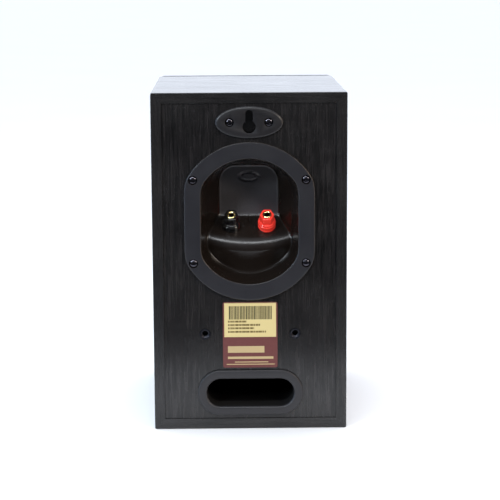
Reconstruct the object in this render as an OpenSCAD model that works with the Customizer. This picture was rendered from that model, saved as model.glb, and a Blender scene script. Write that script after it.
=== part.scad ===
/* [Cabinet] */
// Outer width of the cabinet
cab_w = 150; // [140:1:190]
// Outer height of the cabinet
cab_h = 263; // [260:1:340]
// Depth of the cabinet, from the front edge of its walls to the rear edge
cab_d = 190; // [158:1:240]
// Thickness of the four wall panels
wall_t = 15; // [12:0.5:18]
// Width of the wall's edge that shows round the rear panel
rim_w = 8; // [5:0.5:10]
// Thickness of the rear panel
rear_t = 12; // [11:0.5:18]
// How far the rear panel sits inside the rear edges of the walls
rear_inset = 1; // [0.5:0.1:2]
// Thickness of the front baffle
baffle_t = 15; // [13:0.5:18]
// Gap round the rear panel and round the baffle
joint_gap = 0.3; // [0.1:0.1:0.6]

/* [Terminal cup] */
// Width of the flange between its straight sides
cup_w = 100.6; // [84:0.1:108]
// Radius of the flange's top and bottom arcs
cup_r = 55.2; // [54:0.1:60]
// Distance of each arc's centre from the middle of the flange
cup_shift = 6.3; // [4:0.1:9]
// Width of the flange, from its outer edge to the opening
cup_rim = 13; // [11:0.1:15]
// How far the flange stands out from the rear panel
cup_flange_t = 3; // [2.5:0.1:4]
// Wall thickness of the recess
cup_wall = 2.4; // [1.8:0.1:3]
// Depth of the back plate behind the rear panel's face
cup_depth = 41.2; // [36:0.1:50]
// Depth at which the walls turn in, and at which the floor ends
floor_depth = 26; // [24:0.5:30]
// How far the walls lean in over that depth
wall_lean = 3.8; // [2:0.1:5]
// Width of the flat back plate
back_w = 46.8; // [40:0.1:52]
// Height of the back plate's top edge above the middle of the cup
back_top = 40; // [30:0.5:44]
// Depth of the shelf's front lip
lip_depth = 20; // [18:0.5:22]
// Height at which the plane of the 45 degree shelf meets the rear face, below the middle of the cup
shelf_drop = 41.7; // [40:0.1:44]
// Radius of the lip's curve
lip_r = 93; // [80:1:120]
// Distance from the top of the cabinet down to the middle of the cup
cup_drop = 99; // [92:0.5:104]
// Distance of the cup's screws from the flange's straight sides
cup_screw_side = 6.9; // [6:0.1:9]
// Distance of the cup's screws from the flange's curved ends
cup_screw_arc = 4.6; // [4:0.1:6]

/* [Binding posts] */
// Distance between the two posts
post_pitch = 28; // [24:0.5:30]
// Depth of the posts' feet on the shelf
post_depth = 33.2; // [30:0.1:34]
// Diameter of the threaded stud
stud_d = 6; // [5:0.1:7.2]
// Bore of the banana socket
socket_d = 4; // [3.4:0.1:4.2]
// Depth of the banana socket
socket_len = 12; // [11:0.5:12]
// Height of the stud's top above the shelf
post_h = 15; // [14:0.5:18]
// Diameter of the knob's skirt
skirt_d = 13.9; // [12:0.1:16]
// Width across the corners of the knob's six-sided grip
grip_d = 12.4; // [11.6:0.1:14]
// Radial clearance of the knob's thread on the stud
thread_clear = 0.05; // [0.02:0.01:0.1]
// How far the knob travels when unscrewed
knob_travel = 3; // [2:0.1:3]

/* [Port, hanger, label and inserts] */
// Width of the port's flange
port_flange_w = 82; // [78:0.5:100]
// Height of the port's flange
port_flange_h = 36; // [33:0.5:40]
// Width of the port's opening
port_w = 68; // [56:0.5:72]
// Height of the port's opening
port_h = 22; // [18:0.5:22]
// Height of the middle of the port
port_z = 29; // [29:0.5:40]
// Wall thickness of the duct
duct_wall = 2; // [1.5:0.1:2]
// How far the port's flange stands out
port_flange_t = 2.6; // [2:0.1:3]
// Width of the oval hanger plate
hanger_w = 51.5; // [48:0.5:60]
// Height of the oval hanger plate
hanger_h = 24.3; // [22:0.1:28]
// Thickness of the hanger plate
hanger_t = 2.6; // [2:0.1:3]
// Distance from the top of the cabinet down to the middle of the hanger plate
hanger_drop = 22.7; // [22:0.1:25]
// Diameter of the keyhole's round entry
key_d = 10; // [8:0.5:11]
// Width of the keyhole's slot
key_slot_w = 5.7; // [5:0.1:7]
// Distance between the hanger plate's screws
hanger_pitch = 30; // [28:0.5:36]
// Width of the rating label
label_w = 42.4; // [36:0.1:50]
// Height of the rating label
label_h = 52; // [40:0.5:54]
// Distance between the bracket inserts
insert_pitch = 70; // [60:1:84]
// Bore of the bracket inserts, the minor diameter of an M6 thread
insert_bore = 5; // [4.2:0.1:5.2]
// Length of the bracket inserts
insert_len = 10; // [8:0.5:10]

/* [Drivers] */
// Diameter of the woofer's flange
woofer_d = 112; // [100:1:118]
// Depth of the woofer behind the baffle's face
woofer_depth = 58; // [56:1:70]
// Diameter of the tweeter's faceplate
tweeter_d = 88; // [82:1:100]

/* [Grille] */
// Thickness of the grille's frame
grille_t = 7; // [6:0.5:10]
// Thickness of the grille cloth
cloth_t = 1; // [0.6:0.1:1.5]
// Gap between the grille's frame and the baffle
grille_gap = 1; // [0.5:0.1:2]
// How far the grille's edge sits inside the cabinet's edge
grille_inset = 0; // [0:0.5:4]
// Diameter of the grille's pegs
peg_d = 6; // [5:0.1:7.2]
// Length of the grille's pegs
peg_len = 9; // [7:0.5:10]
// Distance of the pegs from the cabinet's edges
peg_inset = 16; // [15:0.5:18]
// Radial clearance of a peg in its cup
peg_clear = 0.08; // [0.02:0.01:0.1]

/* [Hidden] */
$fn = 72;

// How far a cutting tool runs past the face that it opens
cut = 1;
// Thickness of the thin slices that a hull joins
slice = 0.1;

// Planes across the depth: +Y is the rear
rear_stand = max(cup_flange_t, port_flange_t, hanger_t) - rear_inset;
front_stand = grille_gap + grille_t + cloth_t;
y_rear = (front_stand + cab_d + rear_stand) / 2 - rear_stand;
y_panel = y_rear - rear_inset;
y_panel_back = y_panel - rear_t;
y_front = y_rear - cab_d;

// Insides of the cabinet
inner_x = cab_w / 2 - wall_t;
rebate_w = cab_w - 2 * rim_w;
rebate_h = cab_h - 2 * rim_w;

// Heights on the rear
cup_z = cab_h - cup_drop;
hanger_z = cab_h - hanger_drop;
cup_low = cup_z - cup_shift - cup_r;
label_z = (cup_low + port_z + port_flange_h / 2) / 2;

// Screws: every wood screw on the rear and the drivers has this shank
shank_r = 1.75;
head_r = 3.3;
head_h = 1.6;
recess_r = 3.5;
recess_depth = 1.7;
screw_len = 10;

// Screws of the cup, from its middle
cup_screw_x = cup_w / 2 - cup_screw_side;
cup_screw_z = cup_shift + sqrt(pow(cup_r - cup_screw_arc, 2) - pow(cup_screw_x, 2));

// Binding post, along its own axis from the shelf
post_y = y_panel - post_depth;
post_z = cup_z - shelf_drop + post_depth;
stud_r = stud_d / 2;
base_t = 1.5;
washer_t = 0.7;
base_boss_r = stud_r + 1.2;
washer_gap = 0.3;
washer_low = base_t + washer_gap;
knob_low = washer_low + washer_t;
knob_top = post_h - 0.4;
skirt_top = knob_low + 4.8;
insert_r = stud_r + thread_clear + 1;
insert_low = knob_low + 0.6;
insert_top = insert_low + 4.2;
ring_r = stud_r + 0.5;
ring_low = insert_top + knob_travel + 0.5;
nut_t = 2.8;
tag_t = 0.8;
shelf_back = cup_wall;
tail_len = shelf_back + tag_t + nut_t + 3;
nut_across = 2 * stud_r + 5;
tag_len = 11;
tag_w = 4;

// Hanger
key_z = hanger_z - 3.4;
key_top = hanger_z + 6.7;
pocket_depth = 8;
pocket_grow = 1.4;

// Port
port_sleeve = rear_t + 3;
port_clear = 30;
port_end = y_front + woofer_depth + port_clear;

// Bracket inserts
insert_outer_r = insert_bore / 2 + 2;
insert_chamfer = 0.6;
insert_z = label_z + 0.8;

// Drivers: heights from equal gaps on the baffle
driver_gap = (cab_h - woofer_d - tweeter_d) / 3;
woofer_z = driver_gap + woofer_d / 2;
tweeter_z = cab_h - driver_gap - tweeter_d / 2;
rebate_clear = 0.2;

// Woofer, radii from its flange inwards
flange_t = 3;
flange_r = woofer_d / 2;
basket_r = flange_r - 9.5;
basket_wall = 2;
throat_r = basket_r - basket_wall;
land_r = flange_r - 7.5;
land_t = 0.6;
land_drop = 1.5;
cone_r = throat_r - 8;
roll_t = 0.6;
roll_r = (throat_r - cone_r) / 2;
ledge_r = 34;
ledge_in = 30;
ledge_z = -25;
seat_z = -36;
seat_t = 2;
seat_in = 16;
plate_t = 5;
plate_r = 30;
magnet_r = 35;
magnet_in = 17;
pole_r = 12.2;
vent_r = 4;
former_in = 12.7;
former_r = 13;
winding_r = 13.7;
gap_r = 14.3;
neck_z = -14.5;
cone_t = 0.8;
cap_r = 17;
cap_rise = 5.5;
cap_t = 0.6;
woofer_bolt_r = flange_r - 4;

// Tweeter
face_t = 4;
face_r = tweeter_d / 2;
throat2_r = 17.5;
mouth_r = face_r - 9;
body_r = 30;
body_z = -9;
plate2_t = 3;
magnet2_t = 8;
back2_t = 4;
plate2_r = 28;
pole2_r = 12.3;
former2_in = 12.65;
former2_r = 12.8;
winding2_r = 13.2;
gap2_r = 13.6;
dome_rise = 5;
dome_t = 0.3;
tweeter_bolt_r = face_r - 4.5;

// Crossover board on the right-hand wall
board_t = 3;
board_len = 62;
board_h = 84;
board_x = inner_x - board_t;
board_y = (y_front + woofer_depth + y_panel - cup_depth) / 2 - 3;
board_z = label_z + 40;
board_screw_in = 5;

// Grille
grille_w = cab_w - 2 * grille_inset;
grille_h = cab_h - 2 * grille_inset;
grille_corner = 4;
opening_grow = 3;
cup_socket_wall = 1.6;
peg_x = cab_w / 2 - peg_inset;

// ---- shared shapes ----

// A flat outline in x and z, made solid from y_high towards the front
module slab(y_high, depth) {
    translate([0, y_high, 0])
        rotate([90, 0, 0])
            linear_extrude(depth)
                children();
}

// Things on the rear panel: their own z axis points out of the rear
module rear_at(x, z, out = 0) {
    translate([x, y_panel + out, z])
        rotate([-90, 0, 0])
            children();
}

// Things on the baffle: their own z axis points out of the front
module front_at(x, z, out = 0) {
    translate([x, y_front - out, z])
        rotate([90, 0, 0])
            children();
}

module stadium(w, h) {
    square([w - h, h], center = true);
    for (side = [-1, 1])
        translate([side * (w - h) / 2, 0])
            circle(h / 2);
}

module rounded_rect(w, h, r) {
    square([w - 2 * r, h], center = true);
    square([w, h - 2 * r], center = true);
    for (sx = [-1, 1], sz = [-1, 1])
        translate([sx * (w / 2 - r), sz * (h / 2 - r)])
            circle(r);
}

module ring(r_out, r_in, low, high) {
    translate([0, 0, low])
        difference() {
            cylinder(r = r_out, h = high - low);
            translate([0, 0, -cut])
                cylinder(r = r_in, h = high - low + 2 * cut);
        }
}

// A screw with a cross recess; its head's seat is at z 0
module cross_screw(length) {
    slot_w = 0.8;
    slot_l = 3.4;
    slot_depth = 1.1;
    difference() {
        union() {
            cylinder(r = head_r, h = head_h * 0.55);
            translate([0, 0, head_h * 0.55])
                cylinder(r1 = head_r, r2 = head_r * 0.6, h = head_h * 0.45);
            translate([0, 0, -length])
                cylinder(r = shank_r, h = length + head_h * 0.3);
        }
        for (turn = [0, 90])
            rotate(turn)
                translate([-slot_l / 2, -slot_w / 2, head_h - slot_depth])
                    cube([slot_l, slot_w, slot_depth + cut]);
    }
}

module pilot(length) {
    translate([0, 0, -length])
        cylinder(r = shank_r, h = length + cut);
}

// ---- cabinet ----

module rebates() {
    translate([-rebate_w / 2, y_panel_back, rim_w])
        cube([rebate_w, rear_t + rear_inset + cut, rebate_h]);
    translate([-rebate_w / 2, y_front - cut, rim_w])
        cube([rebate_w, baffle_t + cut, rebate_h]);
}

module wall_panel(outline) {
    color("#1f1d1d")
        difference() {
            slab(y_rear, cab_d)
                polygon(outline);
            rebates();
        }
}

module top_panel() {
    wall_panel([
        [-cab_w / 2, cab_h], [cab_w / 2, cab_h],
        [inner_x, cab_h - wall_t], [-inner_x, cab_h - wall_t]
    ]);
}

module bottom_panel() {
    wall_panel([
        [-cab_w / 2, 0], [cab_w / 2, 0],
        [inner_x, wall_t], [-inner_x, wall_t]
    ]);
}

module side_panel(side) {
    wall_panel([
        [side * cab_w / 2, 0], [side * cab_w / 2, cab_h],
        [side * inner_x, cab_h - wall_t], [side * inner_x, wall_t]
    ]);
}

module inset_board(y_high, thick) {
    translate([-rebate_w / 2 + joint_gap, y_high - thick, rim_w + joint_gap])
        cube([rebate_w - 2 * joint_gap, thick, rebate_h - 2 * joint_gap]);
}

module rear_panel() {
    color("#242222")
        difference() {
            inset_board(y_panel, rear_t);
            slab(y_panel + cut, rear_t + 2 * cut)
                translate([0, cup_z])
                    cup_outline(cup_wall + 0.4 - cup_rim);
            slab(y_panel + cut, rear_t + 2 * cut)
                translate([0, port_z])
                    stadium(port_w + 2 * duct_wall, port_h + 2 * duct_wall);
            slab(y_panel + cut, pocket_depth + cut) {
                translate([0, key_z])
                    circle(key_d / 2 + pocket_grow);
                translate([-key_slot_w / 2 - pocket_grow, key_z])
                    square([key_slot_w + 2 * pocket_grow, key_top - key_z]);
                translate([0, key_top])
                    circle(key_slot_w / 2 + pocket_grow);
            }
            for (side = [-1, 1]) {
                rear_at(side * insert_pitch / 2, insert_z, -insert_len)
                    cylinder(r = insert_outer_r, h = insert_len + cut);
                rear_at(side * hanger_pitch / 2, hanger_z)
                    pilot(screw_len);
                for (level = [-1, 1])
                    rear_at(side * cup_screw_x, cup_z + level * cup_screw_z)
                        pilot(screw_len);
            }
        }
}

module front_baffle() {
    color("#262424")
        difference() {
            inset_board(y_front + baffle_t, baffle_t);
            front_at(0, woofer_z, -baffle_t - cut)
                cylinder(r = basket_r + rebate_clear, h = baffle_t + 2 * cut);
            front_at(0, woofer_z, -flange_t)
                cylinder(r = flange_r + rebate_clear, h = flange_t + cut);
            front_at(0, tweeter_z, -baffle_t - cut)
                cylinder(r = body_r + rebate_clear, h = baffle_t + 2 * cut);
            front_at(0, tweeter_z, -face_t)
                cylinder(r = face_r + rebate_clear, h = face_t + cut);
            screw_places(woofer_z, woofer_bolt_r)
                pilot(screw_len);
            screw_places(tweeter_z, tweeter_bolt_r)
                pilot(screw_len);
            peg_places()
                translate([0, 0, -peg_len - 1])
                    cylinder(r = peg_d / 2 + cup_socket_wall, h = peg_len + 1 + cut);
        }
}

module screw_places(height, bolt_r) {
    front_at(0, height)
        for (turn = [45:90:315])
            rotate(turn)
                translate([bolt_r, 0, 0])
                    children();
}

module peg_places() {
    for (side = [-1, 1], height = [peg_inset, cab_h - peg_inset])
        front_at(side * peg_x, height)
            children();
}

// ---- terminal cup ----

module cup_outline(grow) {
    intersection() {
        union() {
            for (side = [-1, 1])
                translate([0, side * cup_shift])
                    circle(cup_r + grow);
            square([2 * (cup_r + grow), 2 * cup_shift], center = true);
        }
        square([cup_w + 2 * grow, 4 * cup_r], center = true);
    }
}

module back_outline(grow) {
    corner = 12;
    low = -cup_depth / 2;
    translate([0, (back_top + low) / 2])
        offset(r = corner + grow)
            square([back_w - 2 * corner, back_top - low - 2 * corner], center = true);
}

// The recess as if it had no shelf; grow makes it the outside of the wall
module recess(grow) {
    hull() {
        slab(y_panel, slice)
            translate([0, cup_z])
                cup_outline(grow - cup_rim, $fn = 48);
        slab(y_panel - floor_depth - grow, slice)
            translate([0, cup_z])
                cup_outline(grow - cup_rim - wall_lean, $fn = 48);
        slab(y_panel - cup_depth - grow + slice, slice)
            translate([0, cup_z])
                back_outline(grow, $fn = 32);
    }
}

// Everything below the sloping shelf and behind the face under its lip
module shelf_block() {
    side = cup_w / 2 - 4;
    hull() {
        translate([0, y_panel - lip_depth, cup_z - shelf_drop + lip_depth])
            rotate([135, 0, 0])
                linear_extrude(slice)
                    intersection() {
                        translate([0, lip_r])
                            circle(lip_r, $fn = 120);
                        translate([-side, 0])
                            square([2 * side, 55]);
                    }
        slab(y_panel - floor_depth, slice)
            intersection() {
                translate([0, cup_z])
                    cup_outline(-cup_rim - wall_lean + slice, $fn = 48);
                translate([-cup_w / 2, 0])
                    square([cup_w, cup_z - shelf_drop + lip_depth]);
            }
        slab(y_panel - cup_depth - 25, slice)
            translate([-side, cup_low])
                square([2 * side, 60]);
    }
}

module terminal_cup() {
    color("#2d2e36")
        difference() {
            union() {
                slab(y_panel + cup_flange_t, cup_flange_t)
                    translate([0, cup_z])
                        difference() {
                            cup_outline(0);
                            cup_outline(-cup_rim);
                        }
                difference() {
                    recess(cup_wall);
                    difference() {
                        recess(0);
                        shelf_block();
                    }
                    translate([0, -cup_wall * sqrt(2), 0])
                        shelf_block();
                }
            }
            gasket_space();
            for (side = [-1, 1]) {
                post_at(side)
                    translate([0, 0, -2 * cup_wall])
                        cylinder(r = base_boss_r, h = 4 * cup_wall);
                for (level = [-1, 1])
                    rear_at(side * cup_screw_x, cup_z + level * cup_screw_z, cup_flange_t) {
                        translate([0, 0, -recess_depth])
                            cylinder(r = recess_r, h = recess_depth + cut);
                        pilot(cup_flange_t + cut);
                    }
            }
        }
}

module gasket_space() {
    gasket_t = 0.8;
    slab(y_panel + gasket_t, gasket_t)
        translate([0, cup_z])
            difference() {
                cup_outline(-0.8);
                cup_outline(-2.6);
            }
}

module cup_gasket() {
    color("#3a3a3a")
        gasket_space();
}

module cup_screws() {
    color("#18181a")
        for (side = [-1, 1], level = [-1, 1])
            rear_at(side * cup_screw_x, cup_z + level * cup_screw_z, cup_flange_t - recess_depth)
                cross_screw(screw_len + cup_flange_t - recess_depth);
}

// ---- binding posts ----

// Each post's own z axis leans 45 degrees up and out; side -1 is red
module post_at(side) {
    translate([side * post_pitch / 2, post_y, post_z])
        rotate([-45, 0, 0])
            children();
}

module post(side) {
    color("#d8a53c")
        post_at(side)
            difference() {
                union() {
                    translate([0, 0, -tail_len])
                        cylinder(r = stud_r, h = tail_len + post_h);
                    translate([0, 0, ring_low])
                        cylinder(r = ring_r, h = post_h - ring_low);
                }
                translate([0, 0, post_h - socket_len])
                    cylinder(r = socket_d / 2, h = socket_len + cut);
            }
}

module base(side) {
    post_at(side)
        difference() {
            union() {
                cylinder(r = skirt_d / 2, h = base_t);
                translate([0, 0, -shelf_back])
                    cylinder(r = base_boss_r, h = shelf_back + slice);
            }
            translate([0, 0, -tail_len])
                cylinder(r = stud_r, h = 2 * tail_len);
        }
}

module washer(side) {
    color("#d8a53c")
        post_at(side)
            ring(skirt_d / 2 - 1, stud_r + 0.3, washer_low, knob_low);
}

module knob(side) {
    post_at(side)
        difference() {
            union() {
                translate([0, 0, knob_low])
                    cylinder(r = skirt_d / 2, h = skirt_top - knob_low);
                translate([0, 0, skirt_top - slice])
                    cylinder(r = grip_d / 2, h = knob_top - skirt_top + slice, $fn = 6);
            }
            translate([0, 0, knob_low - cut])
                cylinder(r = insert_r, h = insert_top - knob_low + cut);
            translate([0, 0, knob_low])
                cylinder(r = ring_r + 0.3, h = post_h);
        }
}

module knob_insert(side) {
    color("#c9973a")
        post_at(side)
            ring(insert_r, stud_r + thread_clear, insert_low, insert_top);
}

module post_nuts() {
    color("#b9b9bd")
        for (side = [-1, 1])
            post_at(side)
                difference() {
                    translate([0, 0, -shelf_back - tag_t - nut_t])
                        cylinder(d = nut_across, h = nut_t, $fn = 6);
                    translate([0, 0, -tail_len])
                        cylinder(r = stud_r, h = 2 * tail_len);
                }
}

module solder_tags() {
    color("#cfc9b8")
        for (side = [-1, 1])
            post_at(side)
                translate([0, 0, -shelf_back - tag_t])
                    difference() {
                        union() {
                            cylinder(r = stud_r + 2, h = tag_t);
                            translate([-tag_w / 2, 0, 0])
                                cube([tag_w, tag_len, tag_t]);
                        }
                        translate([0, 0, -cut])
                            cylinder(r = stud_r, h = tag_t + 2 * cut);
                    }
}

// ---- hanger, label, port, inserts ----

module oval(w, h) {
    polygon([for (turn = [0:5:355]) [w / 2 * cos(turn), h / 2 * sin(turn)]]);
}

module keyhole() {
    translate([0, key_z])
        circle(key_d / 2);
    translate([-key_slot_w / 2, key_z])
        square([key_slot_w, key_top - key_z]);
    translate([0, key_top])
        circle(key_slot_w / 2);
}

module hanger_plate() {
    color("#26262a")
        difference() {
            slab(y_panel + hanger_t, hanger_t)
                difference() {
                    translate([0, hanger_z])
                        oval(hanger_w, hanger_h);
                    keyhole();
                }
            for (side = [-1, 1])
                rear_at(side * hanger_pitch / 2, hanger_z, hanger_t) {
                    translate([0, 0, -recess_depth])
                        cylinder(r = recess_r, h = recess_depth + cut);
                    pilot(hanger_t + cut);
                }
        }
}

module hanger_screws() {
    color("#18181a")
        for (side = [-1, 1])
            rear_at(side * hanger_pitch / 2, hanger_z, hanger_t - recess_depth)
                cross_screw(screw_len + hanger_t - recess_depth);
}

module rating_label() {
    label_t = 0.3;
    color("#733c41")
        slab(y_panel + label_t, label_t)
            translate([0, label_z])
                rounded_rect(label_w, label_h, 1.5);
}

module port_flange() {
    color("#3c3c42")
        difference() {
            union() {
                slab(y_panel + port_flange_t, port_flange_t)
                    translate([0, port_z])
                        stadium(port_flange_w, port_flange_h);
                slab(y_panel + slice, port_sleeve + slice)
                    translate([0, port_z])
                        stadium(port_w + 2 * duct_wall, port_h + 2 * duct_wall);
            }
            slab(y_panel + port_flange_t + cut, port_sleeve + port_flange_t + 2 * cut)
                translate([0, port_z])
                    stadium(port_w, port_h);
        }
}

module port_duct() {
    start = y_panel - port_sleeve;
    color("#202022")
        slab(start, start - port_end)
            translate([0, port_z])
                difference() {
                    stadium(port_w + 2 * duct_wall, port_h + 2 * duct_wall);
                    stadium(port_w, port_h);
                }
}

module bracket_inserts() {
    color("#8c7a4e")
        for (side = [-1, 1])
            rear_at(side * insert_pitch / 2, insert_z)
                difference() {
                    translate([0, 0, -insert_len])
                        cylinder(r = insert_outer_r, h = insert_len);
                    translate([0, 0, -insert_len - cut])
                        cylinder(d = insert_bore, h = insert_len + 2 * cut);
                    translate([0, 0, -insert_chamfer])
                        cylinder(
                            d1 = insert_bore,
                            d2 = insert_bore + 4 * insert_chamfer,
                            h = 2 * insert_chamfer
                        );
                }
}

// ---- woofer ----

module turned(height, outline) {
    front_at(0, height)
        rotate_extrude()
            polygon(outline);
}

module woofer_frame() {
    window_w = 38;
    window_h = 11;
    window_z = -16;
    color("#3b3c40")
        difference() {
            turned(woofer_z, [
                [flange_r, 0], [flange_r, -flange_t], [basket_r, -flange_t], [basket_r, -8],
                [ledge_r + 2, ledge_z + 1], [ledge_r + 2, seat_z], [seat_in, seat_z],
                [seat_in, seat_z + seat_t], [ledge_in, seat_z + seat_t], [ledge_in, ledge_z],
                [ledge_r, ledge_z], [ledge_r, ledge_z + 1.8], [throat_r, -8],
                [throat_r, -land_drop], [land_r, -land_drop], [land_r, 0]
            ]);
            front_at(0, woofer_z)
                for (turn = [0:90:270])
                    rotate(turn)
                        translate([flange_r - 12, 0, window_z])
                            cube([40, window_w, window_h], center = true);
            screw_places(woofer_z, woofer_bolt_r)
                pilot(screw_len);
        }
}

module woofer_gasket() {
    gasket_h = 1.2;
    low = land_t - land_drop;
    color("#1c1c1e")
        front_at(0, woofer_z)
            ring(land_r - 0.3, throat_r + 0.8, low, low + gasket_h);
}

// Half roll between two flat lands
module roll(height, r_in, r_out, rise, low, thick, inner_land, outer_land) {
    mid = (r_in + r_out) / 2;
    half = (r_out - r_in) / 2;
    upper = [for (turn = [180:-15:0]) [mid + half * cos(turn), low + thick + rise * sin(turn)]];
    lower = [
        for (turn = [0:15:180])
            [mid + (half - thick) * cos(turn), low + (rise - thick * 0.4) * sin(turn)]
    ];
    turned(height, concat(
        [[r_in - inner_land, low], [r_in - inner_land, low + thick]], upper,
        [[r_out + outer_land, low + thick], [r_out + outer_land, low]], lower
    ));
}

module woofer_surround() {
    color("#141416")
        roll(woofer_z, cone_r, throat_r, roll_r - 0.8, -land_drop, roll_t, 2, land_r - throat_r - 0.3);
}

// Front of the cone at a radius
function cone_front(r) =
    neck_z + cone_t + (r - former_r) * (-land_drop - 0.2 - neck_z - cone_t) / (cone_r - former_r);

module woofer_cone() {
    color("#242428")
        turned(woofer_z, [
            [former_r, neck_z], [cone_r, cone_front(cone_r) - cone_t], [cone_r, cone_front(cone_r)],
            [former_r, neck_z + cone_t]
        ]);
}

module dome_shell(height, r, rise, thick, low) {
    outer = [for (turn = [0:10:90]) [r * cos(turn), low + rise * sin(turn)]];
    inner = [for (turn = [90:-10:0]) [(r - thick) * cos(turn), low + (rise - thick) * sin(turn)]];
    turned(height, concat(outer, inner));
}

module dust_cap() {
    color("#1b1b1d")
        dome_shell(woofer_z, cap_r, cap_rise, cap_t, cone_front(cap_r));
}

module voice_coil_former() {
    color("#b58b4a")
        front_at(0, woofer_z)
            ring(former_r, former_in, seat_z - 2 * plate_t, neck_z + cone_t);
}

module voice_coil_winding() {
    color("#a6562c")
        front_at(0, woofer_z)
            ring(winding_r, former_r, seat_z - plate_t - 2, seat_z + 2);
}

module spider() {
    wave = 0.9;
    thick = 0.5;
    waves = 4;
    inner = former_r + 0.15;
    outer = ledge_in - 0.2;
    steps = 8 * waves;
    span = outer - inner;
    mid = ledge_z + thick;
    crest = [for (i = [0:steps]) [inner + span * i / steps, mid + wave * sin(360 * waves * i / steps)]];
    trough = [for (i = [steps:-1:0]) [crest[i][0], crest[i][1] - thick]];
    color("#c58a36")
        turned(woofer_z, concat(crest, [[ledge_r - 0.1, mid], [ledge_r - 0.1, ledge_z]], trough));
}

module woofer_top_plate() {
    color("#8e9196")
        front_at(0, woofer_z)
            ring(plate_r, gap_r, seat_z - plate_t, seat_z);
}

module woofer_magnet() {
    color("#3a3a3c")
        front_at(0, woofer_z)
            ring(magnet_r, magnet_in, plate_t - woofer_depth, seat_z - plate_t);
}

module woofer_back_plate() {
    color("#8e9196")
        turned(woofer_z, [
            [vent_r, -woofer_depth], [plate_r, -woofer_depth], [plate_r, plate_t - woofer_depth],
            [pole_r, plate_t - woofer_depth], [pole_r, seat_z], [vent_r, seat_z]
        ]);
}

module woofer_screws() {
    color("#18181a")
        screw_places(woofer_z, woofer_bolt_r)
            cross_screw(screw_len);
}

// ---- tweeter ----

module tweeter_faceplate() {
    flare = [for (turn = [0:10:80])
        [throat2_r + (mouth_r - throat2_r) * (1 - cos(turn)), body_z + 2 + (-body_z - 2) * sin(turn)]];
    color("#222226")
        difference() {
            turned(tweeter_z, concat(
                [[face_r, 0], [face_r, -face_t], [body_r, -face_t], [body_r, body_z], [throat2_r, body_z]],
                flare, [[mouth_r, 0]]
            ));
            screw_places(tweeter_z, tweeter_bolt_r)
                pilot(screw_len);
        }
}

module tweeter_dome() {
    color("#9a9ca2")
        dome_shell(tweeter_z, former2_r + 0.2, dome_rise, dome_t, body_z + 0.8);
}

module tweeter_surround() {
    roll_in = former2_r + 0.9;
    roll_out = throat2_r - 1.2;
    color("#17171a")
        roll(tweeter_z, roll_in, roll_out, 0.9, body_z, 0.25, 0.3, 1);
}

module tweeter_voice_coil() {
    low = body_z - plate2_t - 1;
    color("#a6562c")
        front_at(0, tweeter_z) {
            ring(former2_r, former2_in, low, body_z + 0.8);
            ring(winding2_r, former2_r - slice / 2, low + 0.5, body_z - 0.6);
        }
}

module tweeter_top_plate() {
    color("#8e9196")
        front_at(0, tweeter_z)
            ring(plate2_r, gap2_r, body_z - plate2_t, body_z);
}

module tweeter_magnet() {
    color("#3a3a3c")
        front_at(0, tweeter_z)
            ring(body_r, gap2_r + 2, body_z - plate2_t - magnet2_t, body_z - plate2_t);
}

module tweeter_back_plate() {
    low = body_z - plate2_t - magnet2_t - back2_t;
    color("#8e9196")
        turned(tweeter_z, [
            [0, low], [plate2_r, low], [plate2_r, low + back2_t],
            [pole2_r, low + back2_t], [pole2_r, body_z], [0, body_z]
        ]);
}

module tweeter_screws() {
    color("#18181a")
        screw_places(tweeter_z, tweeter_bolt_r)
            cross_screw(screw_len);
}

tweeter_back = y_front - body_z + plate2_t + magnet2_t + back2_t;
tab_l = 9;
tab_w = 3;
tab_thick = 0.8;
woofer_tab = [5, y_front - ledge_z + 6, woofer_z + ledge_r + 2];
tweeter_tab = [6, tweeter_back, tweeter_z + 8];

module driver_tabs() {
    color("#d9d4c4")
        for (side = [-1, 1]) {
            translate([side * woofer_tab[0] - tab_w / 2, woofer_tab[1], woofer_tab[2]])
                cube([tab_w, tab_thick, tab_l]);
            translate([side * tweeter_tab[0] - tab_w / 2, tweeter_tab[1], tweeter_tab[2]])
                cube([tab_w, tab_l, tab_thick]);
        }
}

// ---- crossover ----

module on_board(y, z) {
    translate([board_x, board_y + y, board_z + z])
        rotate([0, -90, 0])
            children();
}

module board_screw_places() {
    for (sy = [-1, 1], sz = [-1, 1])
        on_board(sy * (board_len / 2 - board_screw_in), sz * (board_h / 2 - board_screw_in))
            children();
}

module crossover_board() {
    color("#6e4a2a")
        difference() {
            translate([board_x, board_y - board_len / 2, board_z - board_h / 2])
                cube([board_t, board_len, board_h]);
            board_screw_places()
                pilot(board_t + cut);
        }
}

module crossover_coils() {
    color("#a6562c") {
        on_board(-12, 20)
            ring(12, 6, 0, 11);
        on_board(12, -2)
            ring(10, 5, 0, 10);
    }
}

module crossover_capacitors() {
    color("#3d4a63") {
        on_board(-14, -9)
            translate([0, 0, 7])
                rotate([0, 90, 0])
                    translate([0, 0, -12])
                        cylinder(r = 7, h = 24);
        on_board(14, 22)
            translate([0, 0, 5.5])
                rotate([0, 90, 0])
                    translate([0, 0, -10])
                        cylinder(r = 5.5, h = 20);
    }
}

module crossover_resistor() {
    color("#d9d5c8")
        on_board(10, -26)
            translate([-4.5, -15, 0])
                cube([9, 30, 9]);
}

module crossover_screws() {
    color("#c4c4c8")
        board_screw_places()
            cross_screw(board_t);
}

// ---- wires ----

function bezier(p, t) =
    pow(1 - t, 3) * p[0] + 3 * t * pow(1 - t, 2) * p[1] + 3 * t * t * (1 - t) * p[2] + pow(t, 3) * p[3];
function unit(v) = v / norm(v);
function circle_at(centre, along, ref, r, sides) =
    let (across = unit(cross(along, ref)), up = cross(across, along))
    [for (k = [0:sides - 1]) centre + r * (cos(360 * k / sides) * across + sin(360 * k / sides) * up)];

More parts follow.
